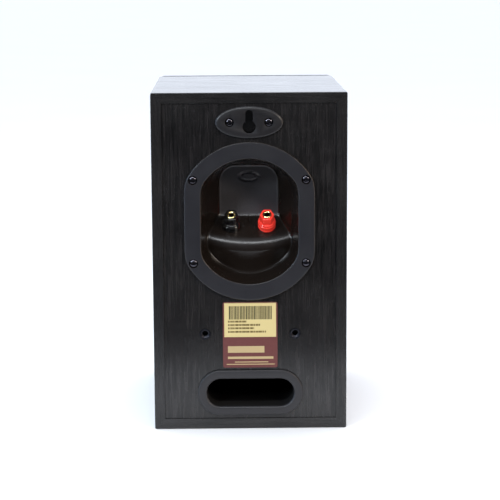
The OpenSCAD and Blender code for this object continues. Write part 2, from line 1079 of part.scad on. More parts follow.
// A round wire along a curve with four control points
module wire(p, r = 1) {
    sides = 8;
    rings = 28;
    ref = [0.31, 0.13, 0.94];
    step = 1 / rings;
    spine = [for (i = [0:rings]) bezier(p, i * step)];
    along = [for (i = [0:rings]) unit(spine[min(i + 1, rings)] - spine[max(i - 1, 0)])];
    points = [for (i = [0:rings]) each circle_at(spine[i], along[i], ref, r, sides)];
    walls = [for (i = [0:rings - 1], k = [0:sides - 1])
        each [
            [i * sides + k, i * sides + (k + 1) % sides, (i + 1) * sides + k],
            [i * sides + (k + 1) % sides, (i + 1) * sides + (k + 1) % sides, (i + 1) * sides + k]
        ]];
    ends = [
        [for (k = [sides - 1:-1:0]) k],
        [for (k = [0:sides - 1]) rings * sides + k]
    ];
    polyhedron(points, concat(walls, ends));
}

// A place in a post's own frame: u runs down the shelf, t out of it
function post_point(side, u, t) =
    [side * post_pitch / 2, post_y + (u + t) * sqrt(0.5), post_z + (t - u) * sqrt(0.5)];

module input_leads() {
    color("#8a2f2f")
        for (side = [-1, 1]) {
            start = post_point(side, tag_len - 1, -shelf_back - tag_t - 1.1);
            end = [board_x - 1.2, board_y + board_len / 2 - 6 - 6 * side, board_z - 36];
            wire([start, start + [0, -26, -26], end + [-26, 10 * side, -4], end]);
        }
}

module woofer_leads() {
    color("#2b5c8a")
        for (side = [-1, 1]) {
            start = woofer_tab + [(side - 1) * woofer_tab[0], tab_thick / 2, tab_l + 1.2];
            end = [board_x - 1.2, board_y - board_len / 2 + 10 + 4 * side, board_z - 30];
            wire([start, start + [0, 6, 16], end + [-18, -8, 8], end]);
        }
}

module tweeter_leads() {
    color("#8a8a2f")
        for (side = [-1, 1]) {
            start = tweeter_tab + [(side - 1) * tweeter_tab[0], tab_l + 1.2, 0.4];
            end = [board_x - 1.2, board_y + 6 * side, board_z + board_h / 2 - 4];
            wire([start, start + [0, 24, 6], end + [-16, -6, 22], end]);
        }
}

module damping_batt() {
    batt_t = 14;
    batt_low = port_z + port_flange_h / 2 + 6;
    batt_high = cab_h - wall_t - 12;
    batt_front = y_front - seat_z + 5;
    batt_rear = y_panel - cup_depth - 10;
    color("#d8d6cf")
        translate([0.3 - inner_x, batt_front, batt_low])
            cube([batt_t, batt_rear - batt_front, batt_high - batt_low]);
}

// ---- grille ----

module grille_frame() {
    color("#1a1a1a") {
        difference() {
            slab(y_front - grille_gap, grille_t)
                translate([0, cab_h / 2])
                    rounded_rect(grille_w - 2 * cloth_t, grille_h - 2 * cloth_t, grille_corner - cloth_t);
            front_at(0, woofer_z, 0)
                cylinder(r = flange_r + opening_grow, h = grille_gap + grille_t + cut);
            front_at(0, tweeter_z, 0)
                cylinder(r = face_r + opening_grow, h = grille_gap + grille_t + cut);
        }
        peg_places()
            translate([0, 0, -peg_len])
                cylinder(d = peg_d, h = peg_len + grille_gap + slice);
    }
}

module grille_cloth() {
    color("#111113")
        difference() {
            slab(y_front - grille_gap, grille_t + cloth_t)
                translate([0, cab_h / 2])
                    rounded_rect(grille_w, grille_h, grille_corner);
            slab(y_front - grille_gap + cut, grille_t + cut)
                translate([0, cab_h / 2])
                    rounded_rect(grille_w - 2 * cloth_t, grille_h - 2 * cloth_t, grille_corner - cloth_t);
        }
}

module grille_cups() {
    color("#2c2c2c")
        peg_places()
            difference() {
                translate([0, 0, -peg_len - 1])
                    cylinder(r = peg_d / 2 + cup_socket_wall, h = peg_len + 1);
                translate([0, 0, -peg_len - 0.5])
                    cylinder(r = peg_d / 2 + peg_clear, h = peg_len + 2 * cut);
            }
}

top_panel();
bottom_panel();
side_panel(1);  // left_panel
side_panel(-1);  // right_panel
rear_panel();
front_baffle();
hanger_plate();
hanger_screws();
terminal_cup();
cup_gasket();
cup_screws();
rating_label();
port_flange();
port_duct();
bracket_inserts();
post(-1);  // red_post
post(1);  // black_post
color("#d8331c") base(-1);  // red_base
color("#1b1b1d") base(1);  // black_base
washer(-1);  // red_washer
washer(1);  // black_washer
color("#e03a22") knob(-1);  // red_knob
color("#1b1b1d") knob(1);  // black_knob
knob_insert(-1);  // red_knob_insert
knob_insert(1);  // black_knob_insert
post_nuts();
solder_tags();
woofer_frame();
woofer_gasket();
woofer_surround();
woofer_cone();
dust_cap();
voice_coil_former();
voice_coil_winding();
spider();
woofer_top_plate();
woofer_magnet();
woofer_back_plate();
driver_tabs();
woofer_screws();
tweeter_faceplate();
tweeter_dome();
tweeter_surround();
tweeter_voice_coil();
tweeter_top_plate();
tweeter_magnet();
tweeter_back_plate();
tweeter_screws();
crossover_board();
crossover_coils();
crossover_capacitors();
crossover_resistor();
crossover_screws();
input_leads();
woofer_leads();
tweeter_leads();
damping_batt();
grille_frame();
grille_cloth();
grille_cups();
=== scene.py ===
import math

import bmesh
import bpy
from mathutils import Matrix, Vector
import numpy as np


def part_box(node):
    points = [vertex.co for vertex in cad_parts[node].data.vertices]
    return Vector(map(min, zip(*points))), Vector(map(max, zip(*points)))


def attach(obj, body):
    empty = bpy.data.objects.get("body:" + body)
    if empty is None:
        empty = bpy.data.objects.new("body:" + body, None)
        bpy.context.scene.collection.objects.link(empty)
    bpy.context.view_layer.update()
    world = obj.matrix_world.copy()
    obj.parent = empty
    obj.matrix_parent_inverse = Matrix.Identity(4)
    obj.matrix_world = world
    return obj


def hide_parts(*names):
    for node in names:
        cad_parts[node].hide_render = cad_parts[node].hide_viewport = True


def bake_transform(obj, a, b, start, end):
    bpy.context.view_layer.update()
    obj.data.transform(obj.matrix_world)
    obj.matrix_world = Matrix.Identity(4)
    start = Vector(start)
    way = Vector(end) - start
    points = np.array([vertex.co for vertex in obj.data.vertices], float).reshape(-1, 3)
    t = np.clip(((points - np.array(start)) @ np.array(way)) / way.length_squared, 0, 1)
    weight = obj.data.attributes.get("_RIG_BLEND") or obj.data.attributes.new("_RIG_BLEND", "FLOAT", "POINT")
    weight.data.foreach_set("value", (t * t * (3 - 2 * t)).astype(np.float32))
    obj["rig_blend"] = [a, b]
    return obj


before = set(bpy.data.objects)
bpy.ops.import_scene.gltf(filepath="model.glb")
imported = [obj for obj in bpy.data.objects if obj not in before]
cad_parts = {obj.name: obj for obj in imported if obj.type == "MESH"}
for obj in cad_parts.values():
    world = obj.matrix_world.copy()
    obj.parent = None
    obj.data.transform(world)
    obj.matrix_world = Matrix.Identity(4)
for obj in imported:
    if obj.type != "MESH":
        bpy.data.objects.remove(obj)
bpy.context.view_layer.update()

# Sizes in millimetres, made metres by MM
MM = 0.001
TINY = 1e-6


def place_of(node):
    low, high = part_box(node)
    return low / MM, high / MM


# Planes of the cabinet, in millimetres: +Y is the rear
wall_low, wall_high = place_of("left_panel")
CAB_W = 2 * wall_high.x
CAB_H = wall_high.z
Y_REAR = wall_high.y
Y_FRONT = wall_low.y
Y_PANEL = place_of("rear_panel")[1].y
WALL_T = wall_high.x - wall_low.x
PANEL_W = 2 * place_of("rear_panel")[1].x
RIM_W = (CAB_W - PANEL_W) / 2 - 0.05
cup_low, cup_high = place_of("terminal_cup")
CUP_Z = (cup_low.z + cup_high.z) / 2

# The cup, measured from its middle and from the rear panel
CUP_R = 55.2
CUP_SHIFT = 6.3
CUP_HALF_W = (cup_high.x - cup_low.x) / 2
CUP_RIM = 13.0
CUP_STAND = cup_high.y - Y_PANEL
CUP_WALL = 2.2
FLOOR_DEPTH = 26.0
WALL_LEAN = 3.8
CUP_DEPTH = 41.2
BACK_HALF_W = 23.4
BACK_TOP = 38.8
LIP_DEPTH = 20.0
SHELF_DROP = 41.7
LIP_R = 93.0
POST_X = 14.0
POST_DEPTH = 33.2
OVAL_Z = 29.4
SCREW_X = CUP_HALF_W - 6.9
SCREW_Z = CUP_SHIFT + math.sqrt((CUP_R - 4.6) ** 2 - SCREW_X ** 2)
RECESS_R = 3.5
RECESS_DEPTH = 1.7

# A binding post, along its own axis from the shelf
STUD_R = 3.0
STUD_TOP = 15.0
SOCKET_R = 2.0
SOCKET_LOW = 3.0
BASE_T = 1.5
KNOB_LOW = 2.5
KNOB_TOP = 14.6
SKIRT_R = 6.95
GRIP_R = 6.2
INSERT_R = 4.05


# ---------------------------------------------------------------- camera

def make_camera():
    data = bpy.data.cameras.new("camera")
    data.lens = 120.4
    data.sensor_width = 36
    data.clip_end = 60
    camera = bpy.data.objects.new("camera", data)
    bpy.context.scene.collection.objects.link(camera)
    camera.location = (0.01805, 1.36778, 0.35928)
    camera.rotation_euler = (math.radians(90 - 9.72), math.radians(0.31), math.radians(180 - 0.876))
    bpy.context.scene.camera = camera


make_camera()


# ---------------------------------------------------------------- working by hand

def calm():
    if bpy.context.object and bpy.context.object.mode != "OBJECT":
        bpy.ops.object.mode_set(mode="OBJECT")
    bpy.ops.object.select_all(action="DESELECT")


def take(piece):
    calm()
    piece.select_set(True)
    bpy.context.view_layer.objects.active = piece


def edit(piece):
    take(piece)
    bpy.ops.object.mode_set(mode="EDIT")


def leave():
    bpy.ops.object.mode_set(mode="OBJECT")


def pick(piece, kind, chosen):
    """Selects nothing but what is chosen; kind is VERT, EDGE or FACE."""
    bpy.ops.mesh.select_mode(type=kind)
    bpy.ops.mesh.select_all(action="DESELECT")
    mesh = bmesh.from_edit_mesh(piece.data)
    for item in {"VERT": mesh.verts, "EDGE": mesh.edges, "FACE": mesh.faces}[kind]:
        if chosen(item):
            item.select_set(True)
    if kind == "VERT":
        mesh.select_flush_mode()
    bmesh.update_edit_mesh(piece.data)


def pick_faces(piece, test):
    """Picks faces by their middle, in millimetres, and their normal."""
    pick(piece, "FACE", lambda face: test(face.calc_center_median() / MM, face.normal))


def pick_edges(piece, test):
    """Picks edges by their two ends, in millimetres."""
    pick(piece, "EDGE", lambda edge: test(*(vert.co / MM for vert in edge.verts)))


def picked_verts(piece):
    return {v.index for v in bmesh.from_edit_mesh(piece.data).verts if v.select}


def push(x=0, y=0, z=0):
    bpy.ops.mesh.extrude_region_move(TRANSFORM_OT_translate={"value": (x * MM, y * MM, z * MM)})


def block(name, low, high):
    calm()
    low, high = Vector(low) * MM, Vector(high) * MM
    bpy.ops.mesh.primitive_cube_add(size=1, location=(low + high) / 2)
    piece = bpy.context.object
    piece.name = name
    piece.scale = high - low
    settle(piece)
    return piece


def settle(piece):
    """Puts the piece's place into its mesh."""
    take(piece)
    bpy.ops.object.transform_apply(location=True, rotation=True, scale=True)


def put(piece, place):
    piece.matrix_world = place
    settle(piece)
    return piece


def copy_of(piece, name, place=None):
    calm()
    twin = piece.copy()
    twin.data = piece.data.copy()
    twin.name = name
    bpy.context.scene.collection.objects.link(twin)
    if place is not None:
        put(twin, place)
    return twin


def join(pieces, name):
    calm()
    for piece in pieces:
        piece.select_set(True)
    bpy.context.view_layer.objects.active = pieces[0]
    bpy.ops.object.join()
    joined = bpy.context.object
    joined.name = name
    return joined


def modify(piece, kind, **settings):
    """Adds a modifier and applies it."""
    take(piece)
    bpy.ops.object.modifier_add(type=kind)
    modifier = piece.modifiers[-1]
    for label, value in settings.items():
        setattr(modifier, label, value)
    bpy.ops.object.modifier_apply(modifier=modifier.name)


def soften(piece, width, segments=2, angle=35):
    """A rounded edge wherever two faces meet at more than the angle."""
    modify(piece, "BEVEL", width=width * MM, segments=segments, limit_method="ANGLE",
           angle_limit=math.radians(angle), use_clamp_overlap=True)


def cut(piece, cutter, operation="DIFFERENCE"):
    modify(piece, "BOOLEAN", operation=operation, solver="EXACT", object=cutter)
    bpy.data.objects.remove(cutter)


def tidy_mesh(piece):
    edit(piece)
    bpy.ops.mesh.select_all(action="SELECT")
    bpy.ops.mesh.remove_doubles(threshold=0.002 * MM)
    bpy.ops.mesh.normals_make_consistent(inside=False)
    leave()


def smooth(piece, angle=38):
    take(piece)
    bpy.ops.object.shade_smooth_by_angle(angle=math.radians(angle))


def flat_faces_flat(piece):
    """Keeps large flat faces flat in shading beside their rounded edges."""
    modify(piece, "WEIGHTED_NORMAL", keep_sharp=True, weight=80)


def grow_ring(piece, factor, height, spread):
    """Scales the picked ring about its middle, or each half about its own centre."""
    if abs(factor - 1) < TINY:
        return
    if not spread:
        bpy.ops.transform.resize(value=(factor, factor, 1), center_override=(0, 0, height * MM))
        return
    ring = picked_verts(piece)
    for side in (-1, 1):
        pick(piece, "VERT", lambda v: v.index in ring and v.co.x * side > 0)
        bpy.ops.transform.resize(
            value=(factor, factor, 1), center_override=(side * spread * MM, 0, height * MM))
    pick(piece, "VERT", lambda v: v.index in ring)


def turned(name, profile, sides=64, spread=0.0):
    """Rings of (radius, height) round local z. A profile that comes back to its start is a hollow ring.

    With spread, the two halves of each ring are parted along x, as on a slot with round ends."""
    calm()
    radius, height = profile[0]
    bpy.ops.mesh.primitive_circle_add(
        vertices=sides, radius=radius * MM, fill_type="NGON", location=(0, 0, height * MM),
        rotation=(0, 0, math.pi / sides))
    piece = bpy.context.object
    piece.name = name
    settle(piece)
    edit(piece)
    for side in (-1, 1) if spread else ():
        pick(piece, "VERT", lambda v: v.co.x * side > 0)
        bpy.ops.transform.translate(value=(side * spread * MM, 0, 0))
    pick(piece, "FACE", lambda face: True)
    for (r0, z0), (r1, z1) in zip(profile, profile[1:]):
        push(z=z1 - z0)
        grow_ring(piece, r1 / r0, z1, spread)
    if profile[0] == profile[-1]:
        pick(piece, "FACE", lambda face: len(face.verts) > 4)
        bpy.ops.mesh.delete(type="FACE")
    leave()
    tidy_mesh(piece)
    return piece


def arc(cx, cz, r, start, end, steps):
    """Points (radius, height) along an arc, angles in degrees from the outward direction."""
    turns = [math.radians(start + (end - start) * i / steps) for i in range(steps + 1)]
    return [(cx + r * math.cos(t), cz + r * math.sin(t)) for t in turns]


def at_rear(x, z, out=0.0):
    """Local z points out of the rear panel."""
    return Matrix.Translation(Vector((x, Y_PANEL + out, z)) * MM) @ Matrix.Rotation(math.radians(-90), 4, "X")


def at_front(x, z, out=0.0):
    """Local z points out of the baffle."""
    return Matrix.Translation(Vector((x, Y_FRONT - out, z)) * MM) @ Matrix.Rotation(math.radians(90), 4, "X")


# ---------------------------------------------------------------- node groups

def feed(tree, node, **values):
    """Links or sets a node's inputs, written with _ for a space."""
    for label, value in values.items():
        socket = node.inputs[label.replace("_", " ")]
        if isinstance(value, bpy.types.NodeSocket):
            tree.links.new(value, socket)
        else:
            socket.default_value = value
    return node


def new_group(name, ins, outs):
    group = bpy.data.node_groups.new(name, "ShaderNodeTree")
    for label, kind, value in ins:
        socket = group.interface.new_socket(label, in_out="INPUT", socket_type="NodeSocket" + kind)
        socket.default_value = value
    for label, kind in outs:
        group.interface.new_socket(label, in_out="OUTPUT", socket_type="NodeSocket" + kind)
    return group, group.nodes.new("NodeGroupInput").outputs, group.nodes.new("NodeGroupOutput")


def noise(tree, vector, scale, detail=4.0, rough=0.55):
    node = tree.nodes.new("ShaderNodeTexNoise")
    return feed(tree, node, Vector=vector, Scale=scale, Detail=detail, Roughness=rough).outputs["Fac"]


def split(tree, vector):
    return feed(tree, tree.nodes.new("ShaderNodeSeparateXYZ"), Vector=vector).outputs


def reckon(tree, kind, *values):
    node = tree.nodes.new("ShaderNodeMath")
    node.operation = kind
    for socket, value in zip(node.inputs, values):
        if isinstance(value, bpy.types.NodeSocket):
            tree.links.new(value, socket)
        else:
            socket.default_value = value
    return node.outputs[0]


def times(tree, first, second):
    return reckon(tree, "MULTIPLY", first, second)


def plus(tree, first, second):
    return reckon(tree, "ADD", first, second)


def spread_range(tree, value, low, high, to_low=0.0, to_high=1.0):
    """Carries low to high over to to_low to to_high, and holds it there."""
    node = tree.nodes.new("ShaderNodeMapRange")
    feed(tree, node, Value=value, From_Min=low, From_Max=high, To_Min=to_low, To_Max=to_high)
    return node.outputs["Result"]


def blend_colours(tree, mask, first, second):
    node = tree.nodes.new("ShaderNodeMix")
    node.data_type = "RGBA"
    tree.links.new(mask, node.inputs["Factor"])
    colour_sockets = [socket for socket in node.inputs if socket.type == "RGBA"]
    for socket, colour in zip(colour_sockets, (first, second)):
        if isinstance(colour, tuple):
            socket.default_value = (*colour, 1)
        else:
            tree.links.new(colour, socket)
    return [socket for socket in node.outputs if socket.type == "RGBA"][0]


def scaled(tree, vector, factors):
    node = tree.nodes.new("ShaderNodeVectorMath")
    node.operation = "MULTIPLY"
    tree.links.new(vector, node.inputs[0])
    if isinstance(factors, tuple):
        node.inputs[1].default_value = factors
    else:
        tree.links.new(factors, node.inputs[1])
    return node.outputs[0]


def build_grain_group():
    """Ash grain: long fibres, open pores and slow waves of tone."""
    group, ins, outs = new_group(
        "ash_grain",
        [("Vector", "Vector", (0, 0, 0)), ("Stretch", "Vector", (1, 1, 0.03)),
         ("Dark", "Color", (0, 0, 0, 1)), ("Light", "Color", (1, 1, 1, 1))],
        [("Colour", "Color"), ("Mask", "Float"), ("Height", "Float")])
    along = scaled(group, ins["Vector"], ins["Stretch"])
    fibre = noise(group, along, 900, 5, 0.65)
    wide = noise(group, along, 560, 3, 0.6)
    tone = spread_range(group, plus(group, times(group, fibre, 0.62), times(group, wide, 0.38)), 0.4, 0.62)
    pores = spread_range(group, noise(group, along, 1500, 2, 0.4), 0.34, 0.44)
    mask = times(group, tone, pores)
    height = plus(group, times(group, pores, 0.7), times(group, fibre, 0.3))
    feed(group, outs, Colour=blend_colours(group, mask, ins["Dark"], ins["Light"]), Mask=mask, Height=height)
    return group


def build_mould_group():
    """Spark-eroded mould texture, with slow patches where the surface is a little shinier."""
    group, ins, outs = new_group(
        "mould_texture",
        [("Vector", "Vector", (0, 0, 0)), ("Grain", "Float", 2200.0), ("Base Roughness", "Float", 0.5)],
        [("Mask", "Float"), ("Roughness", "Float"), ("Height", "Float")])
    patches = noise(group, ins["Vector"], 38, 3, 0.6)
    rough = plus(group, ins["Base Roughness"], spread_range(group, patches, 0.3, 0.7, -0.05, 0.06))
    feed(group, outs, Mask=patches, Roughness=rough, Height=noise(group, ins["Vector"], ins["Grain"], 3, 0.5))
    return group


def build_dust_group():
    """A thin film of dust and finger marks that lies over a colour."""
    group, ins, outs = new_group(
        "dust_film",
        [("Vector", "Vector", (0, 0, 0)), ("Colour", "Color", (0, 0, 0, 1)), ("Amount", "Float", 0.1)],
        [("Colour", "Color")])
    specks = spread_range(group, noise(group, ins["Vector"], 900, 2, 0.5), 0.62, 0.7)
    cloud = spread_range(group, noise(group, ins["Vector"], 24, 4, 0.6), 0.42, 0.72)
    mask = times(group, plus(group, specks, cloud), ins["Amount"])
    feed(group, outs, Colour=blend_colours(group, mask, ins["Colour"], (0.36, 0.35, 0.34)))
    return group


def build_weave_group():
    """Plain weave of round threads; Pitch is the number of threads in a metre."""
    group, ins, outs = new_group(
        "plain_weave",
        [("Across", "Float", 0.0), ("Up", "Float", 0.0), ("Pitch", "Float", 1600.0)],
        [("Mask", "Float"), ("Height", "Float")])
    turn = times(group, ins["Pitch"], math.pi)
    weft = reckon(group, "SINE", times(group, ins["Across"], turn))
    warp = reckon(group, "SINE", times(group, ins["Up"], turn))
    over = times(group, weft, warp)
    threads = reckon(group, "MAXIMUM", reckon(group, "ABSOLUTE", weft), reckon(group, "ABSOLUTE", warp))
    height = plus(group, threads, times(group, over, 0.4))
    feed(group, outs, Mask=spread_range(group, over, -1, 1), Height=height)
    return group


GRAIN = build_grain_group()
MOULD = build_mould_group()
DUST = build_dust_group()
WEAVE = build_weave_group()


# ---------------------------------------------------------------- materials

def new_material(name):
    material = bpy.data.materials.new(name)
    material.use_nodes = True
    tree = material.node_tree
    shader = tree.nodes["Principled BSDF"]
    coords = tree.nodes.new("ShaderNodeTexCoord").outputs["Object"]
    return material, tree, shader, coords


def use_group(tree, group, **values):
    node = tree.nodes.new("ShaderNodeGroup")
    node.node_tree = group
    return feed(tree, node, **values).outputs


def raise_surface(tree, shader, height, distance, strength):
    bump = feed(tree, tree.nodes.new("ShaderNodeBump"), Distance=distance, Strength=strength, Height=height)
    feed(tree, shader, Normal=bump.outputs["Normal"])


def dusty(tree, coords, colour, amount):
    return use_group(tree, DUST, Vector=coords, Colour=colour, Amount=amount)["Colour"]


def out_of_panel(tree, coords):
    """Height above the rear panel, in millimetres."""
    return reckon(tree, "SUBTRACT", times(tree, split(tree, coords)["Y"], 1000.0), Y_PANEL)


def vinyl(name, stretch, dark, light, roughness, relief):
    """Black ash vinyl, its grain drawn out along one axis."""
    material, tree, shader, coords = new_material(name)
    grain = use_group(tree, GRAIN, Vector=coords, Stretch=stretch, Dark=(*dark, 1), Light=(*light, 1))
    sheen = spread_range(tree, grain["Mask"], 0, 1, roughness + 0.07, roughness - 0.05)
    feed(tree, shader, Base_Color=dusty(tree, coords, grain["Colour"], 0.02), Roughness=sheen,
         Specular_IOR_Level=0.5)
    raise_surface(tree, shader, grain["Height"], 0.0001, relief)
    return material


def plastic(name, colour, second, roughness, grain=2200.0, depth=0.00006, specular=0.4, dust=0.03, coat=0.0,
            painted_glow=0.0):
    """Moulded plastic; a painted glow is emission that paints extra light onto a part which is no lamp."""
    material, tree, shader, coords = new_material(name)
    mould = use_group(tree, MOULD, Vector=coords, Grain=grain, Base_Roughness=roughness)
    film = dusty(tree, coords, blend_colours(tree, mould["Mask"], colour, second), dust)
    feed(tree, shader, Base_Color=film, Roughness=mould["Roughness"], Specular_IOR_Level=specular,
         Coat_Weight=coat)
    # Painted light: emission brightens the part as if it glowed, though it is no lamp.
    if painted_glow:
        feed(tree, shader, Emission_Color=film, Emission_Strength=painted_glow)
    raise_surface(tree, shader, mould["Height"], depth, 0.6)
    return material


def metal(name, colour, second, roughness, scratch=(1, 1, 1), depth=0.00002):
    """Metal with fine drawn or turned marks along one axis."""
    material, tree, shader, coords = new_material(name)
    marks = noise(tree, scaled(tree, coords, scratch), 1800, 4, 0.6)
    stain = spread_range(tree, noise(tree, coords, 160, 3, 0.6), 0.3, 0.7)
    feed(tree, shader, Base_Color=blend_colours(tree, stain, colour, second), Metallic=1.0,
         Roughness=spread_range(tree, marks, 0.3, 0.7, roughness - 0.06, roughness + 0.1))
    raise_surface(tree, shader, marks, depth, 0.5)
    return material


def cloth(name, colour, second, pitch, depth):
    """Woven across X and up Z."""
    material, tree, shader, coords = new_material(name)
    parts = split(tree, coords)
    weave = use_group(tree, WEAVE, Across=parts["X"], Up=parts["Z"], Pitch=pitch)
    feed(tree, shader, Base_Color=blend_colours(tree, weave["Mask"], colour, second), Roughness=0.85,
         Sheen_Weight=0.04, Specular_IOR_Level=0.08)
    raise_surface(tree, shader, weave["Height"], depth, 0.8)
    return material


def paint(piece, material):
    piece.data.materials.clear()
    piece.data.materials.append(material)


def dress(piece, material, node, body="cabinet"):
    """Paints a finished piece and puts it in its CAD node's place, on the node's body."""
    paint(piece, material)
    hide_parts(node)
    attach(piece, body)


def post_gold_material():
    """Bright plate at the end of the post, with painted shade darkening it down its socket and thread."""
    material, tree, shader, coords = new_material("post_gold")
    parts = split(tree, coords)
    out = times(tree, plus(tree, parts["Y"], parts["Z"]), 1000 * math.sqrt(0.5))
    tip = (Y_PANEL + CUP_Z - SHELF_DROP) * math.sqrt(0.5) + STUD_TOP
    # Painted shade: below the tip the gold is coloured dark brown, where the socket and the knob keep out the
    # light.
    bright = spread_range(tree, out, tip - 2.2, tip - 0.9)
    stain = spread_range(tree, noise(tree, coords, 300, 3, 0.6), 0.3, 0.7)
    plate = blend_colours(tree, stain, (0.95, 0.74, 0.32), (0.98, 0.84, 0.48))
    feed(tree, shader, Base_Color=blend_colours(tree, bright, (0.2, 0.11, 0.03), plate), Metallic=1.0,
         Roughness=spread_range(tree, stain, 0, 1, 0.14, 0.22))
    raise_surface(tree, shader, stain, 0.00002, 0.4)
    return material


def port_material():
    """Textured flange whose bore is painted darker with depth: a painted shade."""
    material, tree, shader, coords = new_material("port_moulding")
    # Painted shade: this mask falls from 1 at the flange face to 0 down the bore, where the colour is painted
    # near black.
    painted_light_mask = spread_range(tree, out_of_panel(tree, coords), 0.2, 1.6)
    mould = use_group(tree, MOULD, Vector=coords, Grain=1500.0, Base_Roughness=0.36)
    tone = blend_colours(tree, mould["Mask"], (0.0195, 0.0188, 0.021), (0.0235, 0.0228, 0.025))
    tone = blend_colours(tree, painted_light_mask, (0.0025, 0.002, 0.0018), tone)
    rough = plus(tree, mould["Roughness"], spread_range(tree, painted_light_mask, 0, 1, 0.3, 0))
    feed(tree, shader, Base_Color=dusty(tree, coords, tone, 0.004), Roughness=rough, Specular_IOR_Level=0.35)
    raise_surface(tree, shader, mould["Height"], 0.00006, 0.6)
    return material


def cup_material():
    """One moulding with two finishes: textured on the flange and the back plate, polished on all between. The
    back plate's colour is also painted lighter, a painted light for the back of the deep recess.
    """
    material, tree, shader, coords = new_material("cup_moulding")
    out = out_of_panel(tree, coords)
    flange = spread_range(tree, out, CUP_STAND - 0.15, CUP_STAND - 0.03)
    plate = spread_range(tree, out, 1.1 - CUP_DEPTH, 0.75 - CUP_DEPTH)
    textured = reckon(tree, "MAXIMUM", flange, plate)
    mould = use_group(tree, MOULD, Vector=coords, Grain=1300.0, Base_Roughness=0.33)
    tone = blend_colours(tree, mould["Mask"], (0.014, 0.0138, 0.017), (0.0175, 0.0172, 0.02))
    # Painted light: the back plate is coloured about three times lighter than the flange, standing in for
    # light at the back of the recess.
    tone = blend_colours(tree, plate, tone, (0.05, 0.0475, 0.051))
    tone = blend_colours(tree, textured, (0.0105, 0.0072, 0.0055), tone)
    rough = times(tree, mould["Roughness"], spread_range(tree, textured, 0, 1, 0.72, 1.0))
    feed(tree, shader, Base_Color=dusty(tree, coords, tone, 0.004), Roughness=rough, Specular_IOR_Level=0.4)
    raise_surface(tree, shader, times(tree, mould["Height"], textured), 0.00013, 0.7)
    return material


INK = (0.0042, 0.0038, 0.004)
ASH = (0.0155, 0.0142, 0.0142)
vinyl_up = vinyl("ash_upright", (1, 1, 0.03), INK, ASH, 0.25, 0.12)
vinyl_across = vinyl("ash_across", (0.03, 1, 1), INK, ASH, 0.22, 0.13)
rear_vinyl = vinyl("ash_rear", (1, 1, 0.045), (0.001, 0.0008, 0.0009), (0.0168, 0.0148, 0.015), 0.2, 0.14)
cup_plastic = cup_material()
post_gold = post_gold_material()
hanger_plastic = plastic("hanger_moulding", (0.0118, 0.011, 0.0122), (0.0142, 0.0135, 0.0148), 0.33, 1500.0,
                         dust=0.012)
port_plastic = port_material()
duct_plastic = plastic("duct_plastic", (0.003, 0.0026, 0.0025), (0.0045, 0.004, 0.004), 0.6, specular=0.1,
                       dust=0.0)
# The red cap's glow is painted light: emission that makes the red brighter than its lamps light it.
red_plastic = plastic("red_cap", (0.92, 0.045, 0.028), (0.98, 0.06, 0.04), 0.2, 700.0, 0.00001, specular=0.5,
                      dust=0.0, coat=0.3, painted_glow=0.2)
black_plastic = plastic("black_cap", (0.006, 0.0055, 0.0055), (0.009, 0.0085, 0.0085), 0.15, 700.0, 0.00001,
                        specular=0.5, dust=0.0, coat=0.5)
face_plastic = plastic("faceplate_moulding", (0.018, 0.018, 0.021), (0.022, 0.022, 0.026), 0.45)
grille_plastic = plastic("grille_moulding", (0.012, 0.012, 0.012), (0.018, 0.018, 0.018), 0.6)
rubber = plastic("butyl_rubber", (0.009, 0.009, 0.01), (0.014, 0.014, 0.015), 0.55, 900.0, 0.00003)
cone_plastic = plastic("cone_polymer", (0.018, 0.018, 0.02), (0.028, 0.028, 0.031), 0.38, 600.0, 0.00008)
foam = plastic("gasket_foam", (0.03, 0.03, 0.03), (0.05, 0.05, 0.05), 0.9, 1400.0, 0.0003)
ceramic = plastic("cement_body", (0.68, 0.65, 0.58), (0.75, 0.72, 0.66), 0.7, 900.0, 0.0001, specular=0.3,
                  dust=0.05)
film_wrap = plastic("capacitor_wrap", (0.05, 0.075, 0.14), (0.06, 0.09, 0.16), 0.3, 400.0, 0.00002)
red_wire = plastic("red_insulation", (0.35, 0.02, 0.015), (0.42, 0.03, 0.02), 0.45, 900.0, 0.00003)
blue_wire = plastic("blue_insulation", (0.02, 0.08, 0.3), (0.03, 0.1, 0.36), 0.45, 900.0, 0.00003)
yellow_wire = plastic("yellow_insulation", (0.45, 0.4, 0.05), (0.52, 0.46, 0.07), 0.45, 900.0, 0.00003)
hardboard = plastic("hardboard", (0.16, 0.08, 0.035), (0.22, 0.12, 0.055), 0.75, 800.0, 0.0001, specular=0.2)
ferrite = plastic("ferrite", (0.03, 0.03, 0.032), (0.045, 0.045, 0.047), 0.65, 700.0, 0.0001)
black_steel = metal("black_screw", (0.05, 0.048, 0.058), (0.075, 0.072, 0.085), 0.15)
gold = metal("gold_plate", (0.95, 0.72, 0.3), (0.98, 0.8, 0.42), 0.2)
old_brass = metal("insert_brass", (0.018, 0.018, 0.022), (0.035, 0.035, 0.042), 0.28)
zinc = metal("zinc_plate", (0.55, 0.55, 0.57), (0.66, 0.66, 0.68), 0.32)
plate_steel = metal("pole_steel", (0.4, 0.41, 0.43), (0.5, 0.51, 0.53), 0.3)
frame_paint = plastic("basket_paint", (0.03, 0.03, 0.033), (0.04, 0.04, 0.044), 0.5, 500.0, 0.00006)
dome_metal = metal("anodised_dome", (0.5, 0.51, 0.53), (0.56, 0.57, 0.59), 0.25)
copper = metal("enamelled_copper", (0.6, 0.2, 0.07), (0.7, 0.27, 0.1), 0.3, scratch=(1, 12, 1),
               depth=0.0001)
spider_cloth = cloth("treated_cotton", (0.45, 0.22, 0.05), (0.58, 0.31, 0.09), 1500.0, 0.0002)
grille_fabric = cloth("grille_knit", (0.0035, 0.0035, 0.004), (0.03, 0.03, 0.032), 1000.0, 0.0004)


